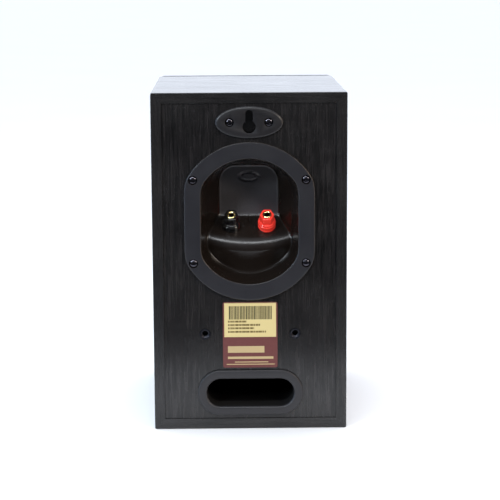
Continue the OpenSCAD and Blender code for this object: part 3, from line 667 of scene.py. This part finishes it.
def wool_material():
    material, tree, shader, coords = new_material("polyester_wool")
    tuft = noise(tree, coords, 180, 6, 0.7)
    feed(tree, shader, Base_Color=blend_colours(tree, tuft, (0.5, 0.49, 0.46), (0.82, 0.81, 0.78)),
         Roughness=0.95, Sheen_Weight=0.4)
    raise_surface(tree, shader, tuft, 0.003, 1.0)
    return material


wool = wool_material()


def band(tree, value, low, high):
    """1 where low < value < high."""
    return times(tree, reckon(tree, "GREATER_THAN", value, low), reckon(tree, "LESS_THAN", value, high))


def label_material(middle_z):
    """Printed film: maroon ground, cream panel with plain bars and rules, a few pale rules below."""
    material, tree, shader, coords = new_material("label_print")
    parts = split(tree, coords)
    x = times(tree, parts["X"], -1000.0)
    z = reckon(tree, "SUBTRACT", times(tree, parts["Z"], 1000.0), middle_z)

    def strips(rows):
        """1 on each strip, given by its top, height, left and right."""
        mask = None
        for top, tall, left, right in rows:
            strip = times(tree, band(tree, z, top - tall, top), band(tree, x, left, right))
            mask = strip if mask is None else reckon(tree, "MAXIMUM", mask, strip)
        return mask

    panel = strips([(25.3, 26.9, -20.1, 20.1)])
    drift = noise(tree, scaled(tree, coords, (1, 0, 0)), 420, 2, 0.5)
    comb = reckon(tree, "SINE", plus(tree, times(tree, x, 5.2), times(tree, drift, 7.0)))
    bars = times(tree, reckon(tree, "GREATER_THAN", comb, reckon(tree, "SUBTRACT", drift, 1.05)),
                 strips([(22.9, 10.6, -16.8, 16.8)]))
    wear = tree.nodes.new("ShaderNodeTexNoise")
    wear.noise_dimensions = "1D"
    feed(tree, wear, W=times(tree, x, 1.3), Scale=1.0)
    rules = times(tree, spread_range(tree, wear.outputs["Fac"], 0.38, 0.46), strips(
        [(11.4, 1.5, -17.3, -2.9), (8.7, 1.5, -17.3, 7.7), (6.1, 1.5, -17.3, 3.1), (3.3, 1.5, -17.3, 12.3)]))
    pale = strips(
        [(-8.9, 5.2, -17.4, 11), (-17.2, 1.9, -17.4, 18), (-21.2, 0.7, -12, 14), (-23, 0.7, -18.5, 19)])
    fibre = noise(tree, coords, 700, 3, 0.6)
    colour = blend_colours(tree, fibre, (0.102, 0.031, 0.0295), (0.128, 0.04, 0.0365))
    layers = ((panel, (0.56, 0.458, 0.212)), (bars, (0.06, 0.052, 0.02)), (rules, (0.13, 0.09, 0.03)),
              (times(tree, pale, 0.8), (0.5, 0.39, 0.2)))
    for mask, ink in layers:
        colour = blend_colours(tree, mask, colour, ink)
    feed(tree, shader, Base_Color=colour, Roughness=spread_range(tree, fibre, 0.3, 0.7, 0.4, 0.5),
         Specular_IOR_Level=0.3)
    raise_surface(tree, shader, fibre, 0.00001, 0.4)
    return material


# ---------------------------------------------------------------- cabinet

def make_wrap():
    """The four walls as one mitred sleeve: rounded outside corners, a rebate at each end."""
    corner_r, end_r, rebate_r, past = 1.3, 0.6, 0.25, 5

    def on_rim(p):
        return abs(abs(p.x) - (CAB_W / 2 - RIM_W)) < 0.05 or abs(min(p.z, CAB_H - p.z) - RIM_W) < 0.05

    wrap = block("wrap", (-CAB_W / 2, Y_FRONT, 0), (CAB_W / 2, Y_REAR, CAB_H))
    edit(wrap)
    pick_edges(wrap, lambda a, b: abs(a.y - b.y) > 50)
    bpy.ops.mesh.bevel(offset=corner_r * MM, segments=6)
    pick_edges(wrap, lambda a, b: abs(a.y - b.y) < 0.01)
    bpy.ops.mesh.bevel(offset=end_r * MM, segments=3)
    leave()
    rear_step = place_of("rear_panel")[0].y
    front_step = place_of("front_baffle")[1].y
    hollows = [(WALL_T, Y_FRONT - past, Y_REAR + past), (RIM_W, rear_step, Y_REAR + past),
               (RIM_W, Y_FRONT - past, front_step)]
    for margin, low, high in hollows:
        half = CAB_W / 2 - margin
        cut(wrap, block("hollow", (-half, low, margin), (half, high, CAB_H - margin)))
    edit(wrap)
    pick_edges(wrap, lambda a, b: abs(a.y - b.y) < 0.01 and (a.y > Y_REAR - 0.01 or a.y < Y_FRONT + 0.01)
               and on_rim(a) and on_rim(b))
    bpy.ops.mesh.bevel(offset=rebate_r * MM, segments=2)
    leave()
    return wrap


def make_panels():
    wrap = make_wrap()
    corner_x = CAB_W / 2 * MM
    top = CAB_H * MM
    # Each panel keeps what lies inside its two mitre planes: a point on each plane and the way out
    mitres = {
        "top_panel": [((-corner_x, 0, top), (-1, 0, -1)), ((corner_x, 0, top), (1, 0, -1))],
        "bottom_panel": [((-corner_x, 0, 0), (-1, 0, 1)), ((corner_x, 0, 0), (1, 0, 1))],
        "left_panel": [((corner_x, 0, top), (-1, 0, 1)), ((corner_x, 0, 0), (-1, 0, -1))],
        "right_panel": [((-corner_x, 0, top), (1, 0, 1)), ((-corner_x, 0, 0), (1, 0, -1))],
    }
    for node, planes in mitres.items():
        panel = copy_of(wrap, node + "_vinyl")
        edit(panel)
        for point, way in planes:
            bpy.ops.mesh.select_all(action="SELECT")
            bpy.ops.mesh.bisect(plane_co=point, plane_no=way, use_fill=True, clear_outer=True)
        leave()
        tidy_mesh(panel)
        smooth(panel, 30)
        flat_faces_flat(panel)
        dress(panel, vinyl_up if "left" in node or "right" in node else vinyl_across, node)
    bpy.data.objects.remove(wrap)


make_panels()


# ---------------------------------------------------------------- terminal cup

def soft_min(a, b, k):
    """The smaller of the two, rounded over about k where they meet."""
    h = max(0.0, min(1.0, 0.5 + 0.5 * (b - a) / k))
    return b + (a - b) * h - k * h * (1 - h)


def inside_of(x, z):
    """How far a point lies inside the recess's opening, measured from the middle of the cup."""
    arc_side = CUP_R - CUP_RIM - math.hypot(x, max(abs(z) - CUP_SHIFT, 0))
    return soft_min(arc_side, CUP_HALF_W - CUP_RIM - abs(x), 3.0)


def reach(turn, inside):
    """Distance from the middle, along a ray, to the line that lies so far inside the opening."""
    near, far = 0.0, 90.0
    for _ in range(30):
        middle = (near + far) / 2
        if inside_of(middle * math.cos(turn), middle * math.sin(turn)) > inside:
            near = middle
        else:
            far = middle
    return near


def back_distance(x, z):
    """How far a point lies outside the arched back plate, negative inside."""
    corner = 13.0
    half_h = 30.0
    dx = abs(x) - (BACK_HALF_W - corner)
    dz = abs(z - (BACK_TOP - half_h)) - (half_h - corner)
    return math.hypot(max(dx, 0), max(dz, 0)) + min(max(dx, dz), 0) - corner


def recess_depth(x, z, inside):
    """Depth of the recess at a point: steep wall, lean to the back plate, then the shelf and its lip."""
    wall = inside * FLOOR_DEPTH / WALL_LEAN
    beyond = inside - WALL_LEAN
    away = max(back_distance(x, z), 0.0)
    if beyond > -1.5:
        lean = FLOOR_DEPTH + (CUP_DEPTH - FLOOR_DEPTH) * beyond / max(beyond + away, 0.4)
        wall = soft_min(wall, lean, 2.0)
    wall = soft_min(wall, CUP_DEPTH, 1.8)
    bow = (LIP_R - math.sqrt(LIP_R ** 2 - min(abs(x), 60.0) ** 2)) * math.sqrt(0.5)
    lip_z = LIP_DEPTH - SHELF_DROP + bow
    shelf = z + SHELF_DROP
    face = LIP_DEPTH + bow + (lip_z - z) * 0.26
    bead = 0.55 * math.exp(-(back_distance(x, z) / 0.8) ** 2)
    return soft_min(wall - bead, -soft_min(-shelf, -face, 8.0), 2.2)


def oval_groove(x, z):
    """The oval in the back plate: a groove round a low dome."""
    out = math.hypot(x / 8.6, (z - OVAL_Z) / 4.1)
    return 1.1 * math.exp(-((out - 0.8) / 0.17) ** 2) + (0.35 if out < 0.8 else 0.0) * (1 - out / 0.8)


def make_cup():
    """Back of the recess, flange, rounded edges and recess, drawn ring by ring from one small circle."""
    sides = 288
    calm()
    bpy.ops.mesh.primitive_circle_add(vertices=sides, radius=0.1 * MM, fill_type="NGON",
                                      rotation=(math.pi / 2, 0, 0))
    cup = bpy.context.object
    cup.name = "terminal_cup_moulding"
    settle(cup)
    deep = 9.0
    core = [1 - i / 60 for i in range(1, 60)] + [0.008]
    flat = -CUP_STAND
    edge = 0.9
    quarter = [math.radians(15 * i) for i in range(7)]
    rings = [("core", t, "back") for t in core[::-4]]
    rings += [("line", deep - i, "back") for i in range(7)]
    rings += [("line", 1.6 - 0.4 * i, "back") for i in range(10)]
    rings += [("line", -CUP_WALL, 0.0), ("line", -CUP_RIM, 0.0)]
    rings += [("line", -CUP_RIM + edge * (1 - math.cos(a)), flat + edge * (1 - math.sin(a))) for a in quarter]
    rings += [("line", -CUP_RIM + 2.5 * i, flat) for i in range(1, 5)]
    rings += [("line", -edge * (1 - math.sin(a)), flat + edge * (1 - math.cos(a))) for a in quarter]
    rings += [("line", 0.0, 0.0)]
    rings += [("line", 0.2 * i, "front") for i in range(1, 26)]
    rings += [("line", 5.0 + 0.5 * i, "front") for i in range(1, 9)]
    rings += [("core", t, "front") for t in core]
    edges = {}
    edit(cup)
    bpy.ops.mesh.select_all(action="SELECT")
    for kind, value, level in rings:
        bpy.ops.mesh.extrude_region_move()
        mesh = bmesh.from_edit_mesh(cup.data)
        for vert in [v for v in mesh.verts if v.select]:
            turn = math.atan2(vert.co.z, vert.co.x)
            spot = (round(turn, 5), deep if kind == "core" else value)
            if spot not in edges:
                edges[spot] = reach(turn, spot[1])
            r = edges[spot] * (value if kind == "core" else 1)
            x, z = r * math.cos(turn), r * math.sin(turn)
            if level == "front":
                depth = recess_depth(x, z, inside_of(x, z)) + oval_groove(x, z)
            elif level == "back":
                depth = recess_depth(x, z, inside_of(x, z) + CUP_WALL) + 1.8
            else:
                depth = level
            vert.co = Vector((x, -depth, z)) * MM
        bmesh.update_edit_mesh(cup.data)
    leave()
    put(cup, Matrix.Translation(Vector((0, Y_PANEL, CUP_Z)) * MM))
    edit(cup)
    bpy.ops.mesh.select_all(action="SELECT")
    bpy.ops.mesh.normals_make_consistent(inside=False)
    leave()
    return cup


def post_place(side):
    """Local z leans 45 degrees, up and out of the sloping shelf."""
    foot = Vector((side * POST_X, Y_PANEL - POST_DEPTH, CUP_Z - SHELF_DROP + POST_DEPTH)) * MM
    return Matrix.Translation(foot) @ Matrix.Rotation(math.radians(-45), 4, "X")


def screw_wells(places, through):
    """Counterbores with a hole through, for cutting."""
    floor = -RECESS_DEPTH
    profile = [(RECESS_R, 2), (RECESS_R, floor + 0.5), (RECESS_R - 0.5, floor), (1.8, floor), (1.8, -through)]
    return [put(turned("well", profile, 48), place) for place in places]


def finish_cup():
    cup = make_cup()
    spots = [at_rear(sx * SCREW_X, CUP_Z + sz * SCREW_Z, CUP_STAND) for sx in (-1, 1) for sz in (-1, 1)]
    cutters = screw_wells(spots, 6)
    for side in (-1, 1):
        cutters.append(put(turned("post_hole", [(4.2, 4), (4.2, -6)], 32), post_place(side)))
    cut(cup, join(cutters, "cup_cutters"))
    smooth(cup, 32)
    dress(cup, cup_plastic, "terminal_cup")


finish_cup()


def make_polarity_marks():
    """A plus and a minus, raised a little from the shelf between the posts."""
    bars = []
    for side in (-1, 1):
        spot = post_place(side) @ Matrix.Translation(Vector((-side * 9.6, 0.5, 0.1)) * MM)
        sizes = [(2.6, 0.6)] if side > 0 else [(2.6, 0.6), (0.6, 2.6)]
        for wide, tall in sizes:
            bars.append(put(block("bar", (-wide / 2, -tall / 2, -0.4), (wide / 2, tall / 2, 0.25)), spot))
    marks = join(bars, "polarity_marks")
    soften(marks, 0.12, 2)
    smooth(marks)
    paint(marks, cup_plastic)
    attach(marks, "cabinet")


make_polarity_marks()


# ---------------------------------------------------------------- screws

def make_screw():
    """Domed head with a cross recess; its seat is at height 0."""
    shank_r, head_r, rim_h, head_h = 1.7, 3.2, 0.2, 1.58
    turns = [math.radians(12 * i) for i in range(8)]
    dome = [(head_r * math.cos(t), rim_h + (head_h - rim_h) * math.sin(t)) for t in turns]
    head = turned("screw", [(shank_r, -9), (shank_r, 0), (3.0, 0)] + dome + [(0.3, head_h)], 48)
    slots = []
    for turn in (0, 90):
        bar = block("slot", (-1.75, -0.42, 0.55), (1.75, 0.42, 3))
        edit(bar)
        pick_faces(bar, lambda centre, normal: normal.z < -0.9)
        bpy.ops.transform.resize(value=(0.55, 0.6, 1), center_override=(0, 0, 0))
        leave()
        slots.append(put(bar, Matrix.Rotation(math.radians(turn), 4, "Z")))
    cross = slots[0]
    cut(cross, slots[1], "UNION")
    cut(head, cross)
    soften(head, 0.07, 1, 40)
    smooth(head, 40)
    return head


def spread_screws(pattern, name, node, places, body="cabinet"):
    screws = [copy_of(pattern, "screw", place) for place in places]
    group = join(screws, name)
    dress(group, black_steel, node, body)


screw = make_screw()
hanger_low, hanger_high = place_of("hanger_plate")
HANGER_Z = (hanger_low.z + hanger_high.z) / 2
HANGER_STAND = hanger_high.y - Y_PANEL
HANGER_PITCH = 30.0
woofer_low, woofer_high = place_of("woofer_frame")
WOOFER_R = (woofer_high.x - woofer_low.x) / 2
WOOFER_Z = (woofer_low.z + woofer_high.z) / 2
tweeter_low, tweeter_high = place_of("tweeter_faceplate")
TWEETER_R = (tweeter_high.z - tweeter_low.z) / 2
TWEETER_Z = (tweeter_low.z + tweeter_high.z) / 2


def round_places(height, bolt_r):
    spots = []
    for i in range(4):
        turn = math.radians(45 + 90 * i)
        spots.append(at_front(bolt_r * math.cos(turn), height + bolt_r * math.sin(turn)))
    return spots


turn_a_little = [Matrix.Rotation(math.radians(a), 4, "Z") for a in (20, 65, 35, 80)]
cup_spots = [at_rear(sx * SCREW_X, CUP_Z + sz * SCREW_Z, CUP_STAND - RECESS_DEPTH) @ turn
             for (sx, sz), turn in zip(((-1, -1), (-1, 1), (1, -1), (1, 1)), turn_a_little)]
hanger_spots = [at_rear(side * HANGER_PITCH / 2, HANGER_Z, HANGER_STAND - RECESS_DEPTH) @ turn
                for side, turn in zip((-1, 1), turn_a_little)]
spread_screws(screw, "cup_screw_set", "cup_screws", cup_spots)
spread_screws(screw, "hanger_screw_set", "hanger_screws", hanger_spots)
spread_screws(screw, "woofer_screw_set", "woofer_screws", round_places(WOOFER_Z, WOOFER_R - 4))
spread_screws(screw, "tweeter_screw_set", "tweeter_screws", round_places(TWEETER_Z, TWEETER_R - 4.5))
bpy.data.objects.remove(screw)


# ---------------------------------------------------------------- hanger plate

def make_hanger():
    half_w = (hanger_high.x - hanger_low.x) / 2
    half_h = (hanger_high.z - hanger_low.z) / 2
    calm()
    bpy.ops.mesh.primitive_circle_add(vertices=120, radius=1, fill_type="NGON")
    plate = bpy.context.object
    plate.name = "hanger_plate_oval"
    plate.scale = (half_w * MM, half_h * MM, 1)
    settle(plate)
    edit(plate)
    pick(plate, "FACE", lambda face: True)
    push(z=HANGER_STAND - 1.0)
    bpy.ops.mesh.inset(thickness=0.35 * MM, depth=0.45 * MM)
    bpy.ops.mesh.inset(thickness=0.6 * MM, depth=0.3 * MM)
    bpy.ops.mesh.inset(thickness=1.1 * MM, depth=0.25 * MM)
    leave()
    tidy_mesh(plate)
    put(plate, at_rear(0, HANGER_Z))
    slot_w, slot_up = 5.7, 10.1
    key = turned("key_entry", [(5, -6), (5, 6)], 64)
    cut(key, block("key_slot", (-slot_w / 2, -slot_up, -6), (slot_w / 2, 0, 6)), "UNION")
    end = turned("key_end", [(slot_w / 2, -6), (slot_w / 2, 6)], 48)
    cut(key, put(end, Matrix.Translation((0, -slot_up * MM, 0))), "UNION")
    cut(plate, put(key, at_rear(0, HANGER_Z - 3.4)))
    spots = [at_rear(side * HANGER_PITCH / 2, HANGER_Z, HANGER_STAND) for side in (-1, 1)]
    for well in screw_wells(spots, 5):
        cut(plate, well)
    soften(plate, 0.25, 2, 50)
    smooth(plate, 30)
    dress(plate, hanger_plastic, "hanger_plate")


make_hanger()


# ---------------------------------------------------------------- port

def make_port():
    """A ring with straight sides and round ends; its opening and its outside share their end centres."""
    low, high = place_of("port_flange")
    stand = high.y - Y_PANEL
    inner_end = low.y - Y_PANEL
    opening_r, wall, edge_r, mouth_r = 11.0, 2, 1.1, 1.6
    outer_r = (high.z - low.z) / 2
    spread = (high.x - low.x) / 2 - outer_r
    profile = [(opening_r + wall, inner_end), (opening_r + wall, 0), (outer_r, 0)]
    profile += arc(outer_r - edge_r, stand - edge_r, edge_r, 0, 90, 6)
    profile += [(outer_r - 3, stand)]
    profile += arc(opening_r + mouth_r, stand - mouth_r, mouth_r, 90, 180, 6)
    profile += [(opening_r, inner_end), (opening_r + wall, inner_end)]
    flange = turned("port_flange_moulding", profile, 96, spread)
    put(flange, at_rear(0, (low.z + high.z) / 2))
    smooth(flange, 40)
    dress(flange, port_plastic, "port_flange")


make_port()


# ---------------------------------------------------------------- bracket inserts

def make_inserts():
    low, high = place_of("bracket_inserts")
    outer, inner, length, thread = 4.5, 2.5, 10, 0.4
    profile = [(outer, -length), (outer, -0.5), (4.3, -0.2), (3.6, -0.05), (3.1, -0.1), (2.75, -0.35)]
    depth = -0.8
    while depth > 0.4 - length:
        profile += [(inner + thread, depth), (inner, depth - 0.25), (inner, depth - 0.5),
                    (inner + thread, depth - 0.75)]
        depth -= 1.0
    profile += [(inner, -length), (outer, -length)]
    rings = [put(turned("insert", profile, 48), at_rear(x, (low.z + high.z) / 2))
             for x in (low.x + outer, high.x - outer)]
    inserts = join(rings, "threaded_inserts")
    smooth(inserts, 30)
    dress(inserts, old_brass, "bracket_inserts")


make_inserts()


# ---------------------------------------------------------------- rating label

def make_label():
    low, high = place_of("rating_label")
    middle = (low.z + high.z) / 2
    label = block("rating_label_film", (low.x, Y_PANEL, low.z), (high.x, high.y, high.z))
    edit(label)
    pick_edges(label, lambda a, b: abs(a.y - b.y) > 0.1)
    bpy.ops.mesh.bevel(offset=1.5 * MM, segments=6)
    pick_faces(label, lambda centre, normal: normal.y > 0.9)
    bpy.ops.mesh.inset(thickness=0.08 * MM)
    bpy.ops.mesh.inset(thickness=0.6 * MM)
    leave()
    smooth(label, 30)
    flat_faces_flat(label)
    dress(label, label_material(middle), "rating_label")


make_label()


# ---------------------------------------------------------------- binding posts

def make_stud(colour, side):
    profile = [(0.4, SOCKET_LOW), (SOCKET_R, SOCKET_LOW), (SOCKET_R, STUD_TOP - 1)]
    profile += arc(2.75, STUD_TOP - 0.75, 0.75, 180, 0, 10)
    profile += [(3.5, 11.4), (3.35, 11.1), (STUD_R, 11.1)]
    depth = 10.7
    while depth > -8.5:
        profile += [(STUD_R, depth), (STUD_R - 0.22, depth - 0.2), (STUD_R, depth - 0.4)]
        depth -= 0.75
    profile += [(STUD_R, -8.9), (STUD_R - 0.5, -9.2), (0.4, -9.2)]
    stud = turned(colour + "_stud", profile, 48)
    smooth(stud, 30)
    put(stud, post_place(side))
    dress(stud, post_gold, colour + "_post")


def make_base(colour, side, material):
    collar_r, foot = 4.2, -2.4
    profile = [(STUD_R, foot), (collar_r, foot), (collar_r, 0), (SKIRT_R - 0.3, 0), (SKIRT_R, 0.25),
               (SKIRT_R, BASE_T - 0.35), (SKIRT_R - 0.35, BASE_T), (STUD_R, BASE_T), (STUD_R, foot)]
    base = turned(colour + "_base_ring", profile, 64)
    smooth(base, 40)
    put(base, post_place(side))
    dress(base, material, colour + "_base")


def make_washer(colour, side):
    outer, inner, low, high = SKIRT_R - 1, STUD_R + 0.3, BASE_T + 0.3, KNOB_LOW
    edge = 0.12
    profile = [(inner, low), (outer - edge, low), (outer, low + edge), (outer, high - edge),
               (outer - edge, high), (inner, high), (inner, low)]
    washer = turned(colour + "_clamp_washer", profile, 64)
    smooth(washer, 40)
    put(washer, post_place(side))
    dress(washer, gold, colour + "_washer", colour + "_clamp")


def make_knob(colour, side, material):
    """A round skirt with two steps under a six-sided grip, bored for the stud's ring."""
    skirt = [(2.0, KNOB_LOW), (SKIRT_R - 0.25, KNOB_LOW), (SKIRT_R, KNOB_LOW + 0.25), (SKIRT_R, 5.0),
             (SKIRT_R - 0.3, 5.35), (SKIRT_R - 0.75, 5.5), (SKIRT_R - 0.75, 6.0), (SKIRT_R - 0.45, 6.2),
             (SKIRT_R - 0.45, 6.9)]
    skirt += arc(SKIRT_R - 1.15, 6.9, 0.7, 0, 80, 4)[1:] + [(2.0, 7.65)]
    knob = turned(colour + "_knob_cap", skirt, 96)
    grip_low = 7
    calm()
    bpy.ops.mesh.primitive_cylinder_add(
        vertices=6, radius=GRIP_R * MM, depth=(KNOB_TOP - grip_low) * MM,
        location=(0, 0, (KNOB_TOP + grip_low) / 2 * MM), rotation=(0, 0, math.pi / 6))
    grip = bpy.context.object
    settle(grip)
    edit(grip)
    pick_faces(grip, lambda centre, normal: normal.z > 0.9)
    bpy.ops.transform.resize(value=(0.93, 0.93, 1), center_override=(0, 0, 0))
    pick_edges(grip, lambda a, b: abs(a.z - b.z) > 2)
    bpy.ops.mesh.bevel(offset=1.0 * MM, segments=4)
    leave()
    soften(grip, 0.6, 4, 50)
    cut(knob, grip, "UNION")
    seat, neck = 7.3, 3.8
    bore = [(INSERT_R, KNOB_LOW - 1), (INSERT_R, seat), (neck, seat), (neck, KNOB_TOP - 0.4),
            (neck + 0.5, KNOB_TOP + 0.1), (neck + 0.5, 18)]
    cut(knob, turned("bore", bore, 64))
    smooth(knob, 35)
    put(knob, post_place(side))
    dress(knob, material, colour + "_knob", colour + "_cap")


both_posts = (("red", -1, red_plastic, "red_plastic"), ("black", 1, black_plastic, "black_plastic"))
for colour, side, material, slot in both_posts:
    make_stud(colour, side)
    make_base(colour, side, material)
    make_washer(colour, side)
    make_knob(colour, side, material)


# ---------------------------------------------------------------- grille

def make_grille_cloth():
    """Knit pulled over the frame's face and round its edges."""
    low, high = place_of("grille_cloth")
    cloth_piece = block("grille_cloth_knit", low, high)
    edit(cloth_piece)
    pick_faces(cloth_piece, lambda centre, normal: normal.y > 0.9)
    bpy.ops.mesh.delete(type="FACE")
    pick_edges(cloth_piece, lambda a, b: abs(a.y - b.y) > 1)
    bpy.ops.mesh.bevel(offset=4 * MM, segments=8)
    pick_faces(cloth_piece, lambda centre, normal: normal.y < -0.9)
    bpy.ops.mesh.region_to_loop()
    bpy.ops.mesh.bevel(offset=2.2 * MM, segments=5)
    leave()
    modify(cloth_piece, "SOLIDIFY", thickness=0.5 * MM, offset=-1)
    smooth(cloth_piece, 30)
    dress(cloth_piece, grille_fabric, "grille_cloth", "grille")


make_grille_cloth()


# ---------------------------------------------------------------- surrounds and spider

def bend_round(piece, body, height, r_still, r_moving):
    """The ring's outside stays with the cabinet and its inside follows the coil, smoothly between."""
    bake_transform(piece, "cabinet", body, start=(0, Y_FRONT * MM, (height + r_still) * MM),
             end=(0, Y_FRONT * MM, (height + r_moving) * MM))
    share = piece.data.attributes["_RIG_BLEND"].data
    for vert, value in zip(piece.data.vertices, share):
        r = math.hypot(vert.co.x, vert.co.z - height * MM) / MM
        t = max(0.0, min(1.0, (r_still - r) / (r_still - r_moving)))
        value.value = t * t * (3 - 2 * t)


def make_ring(name, profile, height, body, r_still, r_moving, material, node):
    ring = put(turned(name, profile, 96), at_front(0, height))
    smooth(ring, 40)
    paint(ring, material)
    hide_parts(node)
    bend_round(ring, body, height, r_still, r_moving)


def half_roll(r_in, r_out, rise, low, thick, inner_land, outer_land):
    """Section of a half roll between two flat lands, closed on itself."""
    middle = (r_in + r_out) / 2
    half = (r_out - r_in) / 2
    turns = [math.radians(180 - 7.5 * i) for i in range(25)]
    section = [(r_in - inner_land, low), (r_in - inner_land, low + thick)]
    section += [(middle + half * math.cos(t), low + thick + rise * math.sin(t)) for t in turns]
    section += [(r_out + outer_land, low + thick), (r_out + outer_land, low)]
    section += [(middle + (half - thick) * math.cos(t), low + (rise - thick * 0.4) * math.sin(t))
                for t in turns[::-1]]
    return section + section[:1]


def make_soft_parts():
    basket_r, roll_w = WOOFER_R - 11.5, 8
    make_ring("woofer_roll", half_roll(basket_r - roll_w, basket_r, 3.2, -1.5, 0.6, 2, 3.7), WOOFER_Z,
              "woofer_diaphragm", basket_r, basket_r - roll_w, rubber, "woofer_surround")
    dome_r, plate_r = 13.7, 16.3
    make_ring("tweeter_roll", half_roll(dome_r, plate_r, 0.9, -9, 0.25, 0.3, 1), TWEETER_Z,
              "tweeter_diaphragm", plate_r, dome_r, rubber, "tweeter_surround")
    low, high, land, level, thick, waves, steps = 13.15, 29.8, 33.9, -24.5, 0.5, 4, 48
    crest = [(low + (high - low) * i / steps, level + 0.9 * math.sin(2 * math.pi * waves * i / steps))
             for i in range(steps + 1)]
    under = [(r, z - thick) for r, z in crest[::-1]]
    section = crest + [(land, level), (land, level - thick)] + under + crest[:1]
    make_ring("spider_cloth", section, WOOFER_Z, "woofer_diaphragm", high, low + 1, spider_cloth,
              "spider")


make_soft_parts()


# ---------------------------------------------------------------- damping wool

def make_batt():
    """A sheet of polyester wool on the side wall: crowned, thin at its rim, sides drawn in, tufted."""
    low, high = place_of("damping_batt")
    middle, half = (low + high) / 2, (high - low) / 2
    batt = block("damping_wool", low + Vector((0, 1, 1)), high - Vector((0.6, 1, 1)))
    edit(batt)
    bpy.ops.mesh.select_all(action="SELECT")
    bpy.ops.mesh.subdivide(number_cuts=31)
    mesh = bmesh.from_edit_mesh(batt.data)
    for vert in mesh.verts:
        spot = vert.co / MM
        along = Vector((0, (spot.y - middle.y) / half.y, (spot.z - middle.z) / half.z))
        rim = max(0.0, 1 - min((1 - abs(along.y)) * half.y, (1 - abs(along.z)) * half.z) / 10)
        spot.x = low.x + (spot.x - low.x) * (1 - 0.6 * rim ** 2)
        spot.y -= along.y * 3 * (1 - along.z ** 2)
        spot.z -= along.z * 3 * (1 - along.y ** 2)
        vert.co = spot * MM
    bmesh.update_edit_mesh(batt.data)
    leave()
    tufts = bpy.data.textures.new("tufts", "CLOUDS")
    tufts.noise_scale = 0.012
    tufts.noise_depth = 3
    modify(batt, "DISPLACE", texture=tufts, mid_level=1.0, strength=3 * MM)
    modify(batt, "SUBSURF", levels=1, render_levels=1)
    smooth(batt, 60)
    dress(batt, wool, "damping_batt")


make_batt()


# ---------------------------------------------------------------- carried-over CAD nodes

finishes = {
    "rear_panel": rear_vinyl, "front_baffle": rear_vinyl, "cup_gasket": foam, "port_duct": duct_plastic,
    "red_knob_insert": gold, "black_knob_insert": gold, "post_nuts": zinc, "solder_tags": zinc,
    "woofer_frame": frame_paint, "woofer_gasket": rubber, "woofer_cone": cone_plastic,
    "dust_cap": cone_plastic, "voice_coil_former": copper, "voice_coil_winding": copper,
    "woofer_top_plate": plate_steel, "woofer_magnet": ferrite, "woofer_back_plate": plate_steel,
    "driver_tabs": zinc, "tweeter_faceplate": face_plastic, "tweeter_dome": dome_metal,
    "tweeter_voice_coil": copper, "tweeter_top_plate": plate_steel,
    "tweeter_magnet": ferrite, "tweeter_back_plate": plate_steel, "crossover_board": hardboard,
    "crossover_coils": copper, "crossover_capacitors": film_wrap, "crossover_resistor": ceramic,
    "crossover_screws": zinc, "input_leads": red_wire, "woofer_leads": blue_wire,
    "tweeter_leads": yellow_wire, "grille_frame": grille_plastic, "grille_cups": rubber,
}
for node, finish in finishes.items():
    paint(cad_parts[node], finish)


# ---------------------------------------------------------------- floor and light

def make_stage():
    calm()
    reach_back, reach_front = -20.0, 0.32
    bpy.ops.mesh.primitive_plane_add(size=1, location=(0, (reach_back + reach_front) / 2, -0.0002))
    floor = bpy.context.object
    floor.name = "floor"
    floor.scale = (40, reach_front - reach_back, 1)
    settle(floor)
    material, tree, shader, coords = new_material("pale_floor")
    mottle = noise(tree, coords, 3, 2, 0.5)
    feed(tree, shader, Base_Color=blend_colours(tree, mottle, (0.9, 0.9, 0.9), (0.93, 0.93, 0.93)),
         Roughness=0.9, Specular_IOR_Level=0.1)
    paint(floor, material)


def make_world():
    """White to look at; as light it is bright beyond the object and dim on the near side."""
    world = bpy.data.worlds.new("studio")
    bpy.context.scene.world = world
    world.use_nodes = True
    tree = world.node_tree
    parts = split(tree, tree.nodes.new("ShaderNodeTexCoord").outputs["Generated"])
    beyond = spread_range(tree, parts["Y"], -0.5, 0.25, 2.0, 0.05)
    zenith = spread_range(tree, parts["Z"], 0.8, 0.95, 0, 1.3)
    horizon = times(tree, spread_range(tree, parts["Z"], -0.12, -0.05, 0, 0.15),
                    spread_range(tree, parts["Y"], 0.3, 0.6))
    strength = plus(tree, plus(tree, beyond, zenith), horizon)
    seen = tree.nodes.new("ShaderNodeLightPath").outputs["Is Camera Ray"]
    strength = plus(tree, times(tree, strength, reckon(tree, "SUBTRACT", 1.0, seen)), seen)
    feed(tree, tree.nodes["Background"], Color=blend_colours(tree, seen, (0.84, 0.895, 1), (1, 1, 1)),
         Strength=strength)


def soft_light(name, place, target, size, power, colour):
    data = bpy.data.lights.new(name, "AREA")
    data.shape = "RECTANGLE"
    data.size, data.size_y = size
    data.energy = power
    data.color = colour
    light = bpy.data.objects.new(name, data)
    light.location = place
    light.rotation_euler = (Vector(target) - Vector(place)).to_track_quat("-Z", "Y").to_euler()
    bpy.context.scene.collection.objects.link(light)


make_stage()
make_world()
soft_light("window_left", (1.05, 1.45, 0.85), (0, 0.1, 0.15), (0.3, 0.3), 12.5, (0.8, 0.91, 1))
soft_light("window_right", (-1.05, 1.45, 0.85), (0, 0.1, 0.15), (0.3, 0.3), 11.5, (1, 0.89, 0.77))
soft_light("skylight", (0.25, 1.5, 1.55), (0, 0.1, 0.15), (1.5, 0.22), 20, (0.92, 0.96, 1))
soft_light("cool_side", (1.1, 0.5, 0.4), (0, 0.1, 0.15), (0.15, 0.9), 5, (0.5, 0.7, 1))
soft_light("warm_side", (-1.1, 0.5, 0.4), (0, 0.1, 0.15), (0.15, 0.9), 3.5, (1, 0.75, 0.55))

scene = bpy.context.scene
scene.view_settings.view_transform = "Standard"
scene.view_settings.look = "None"
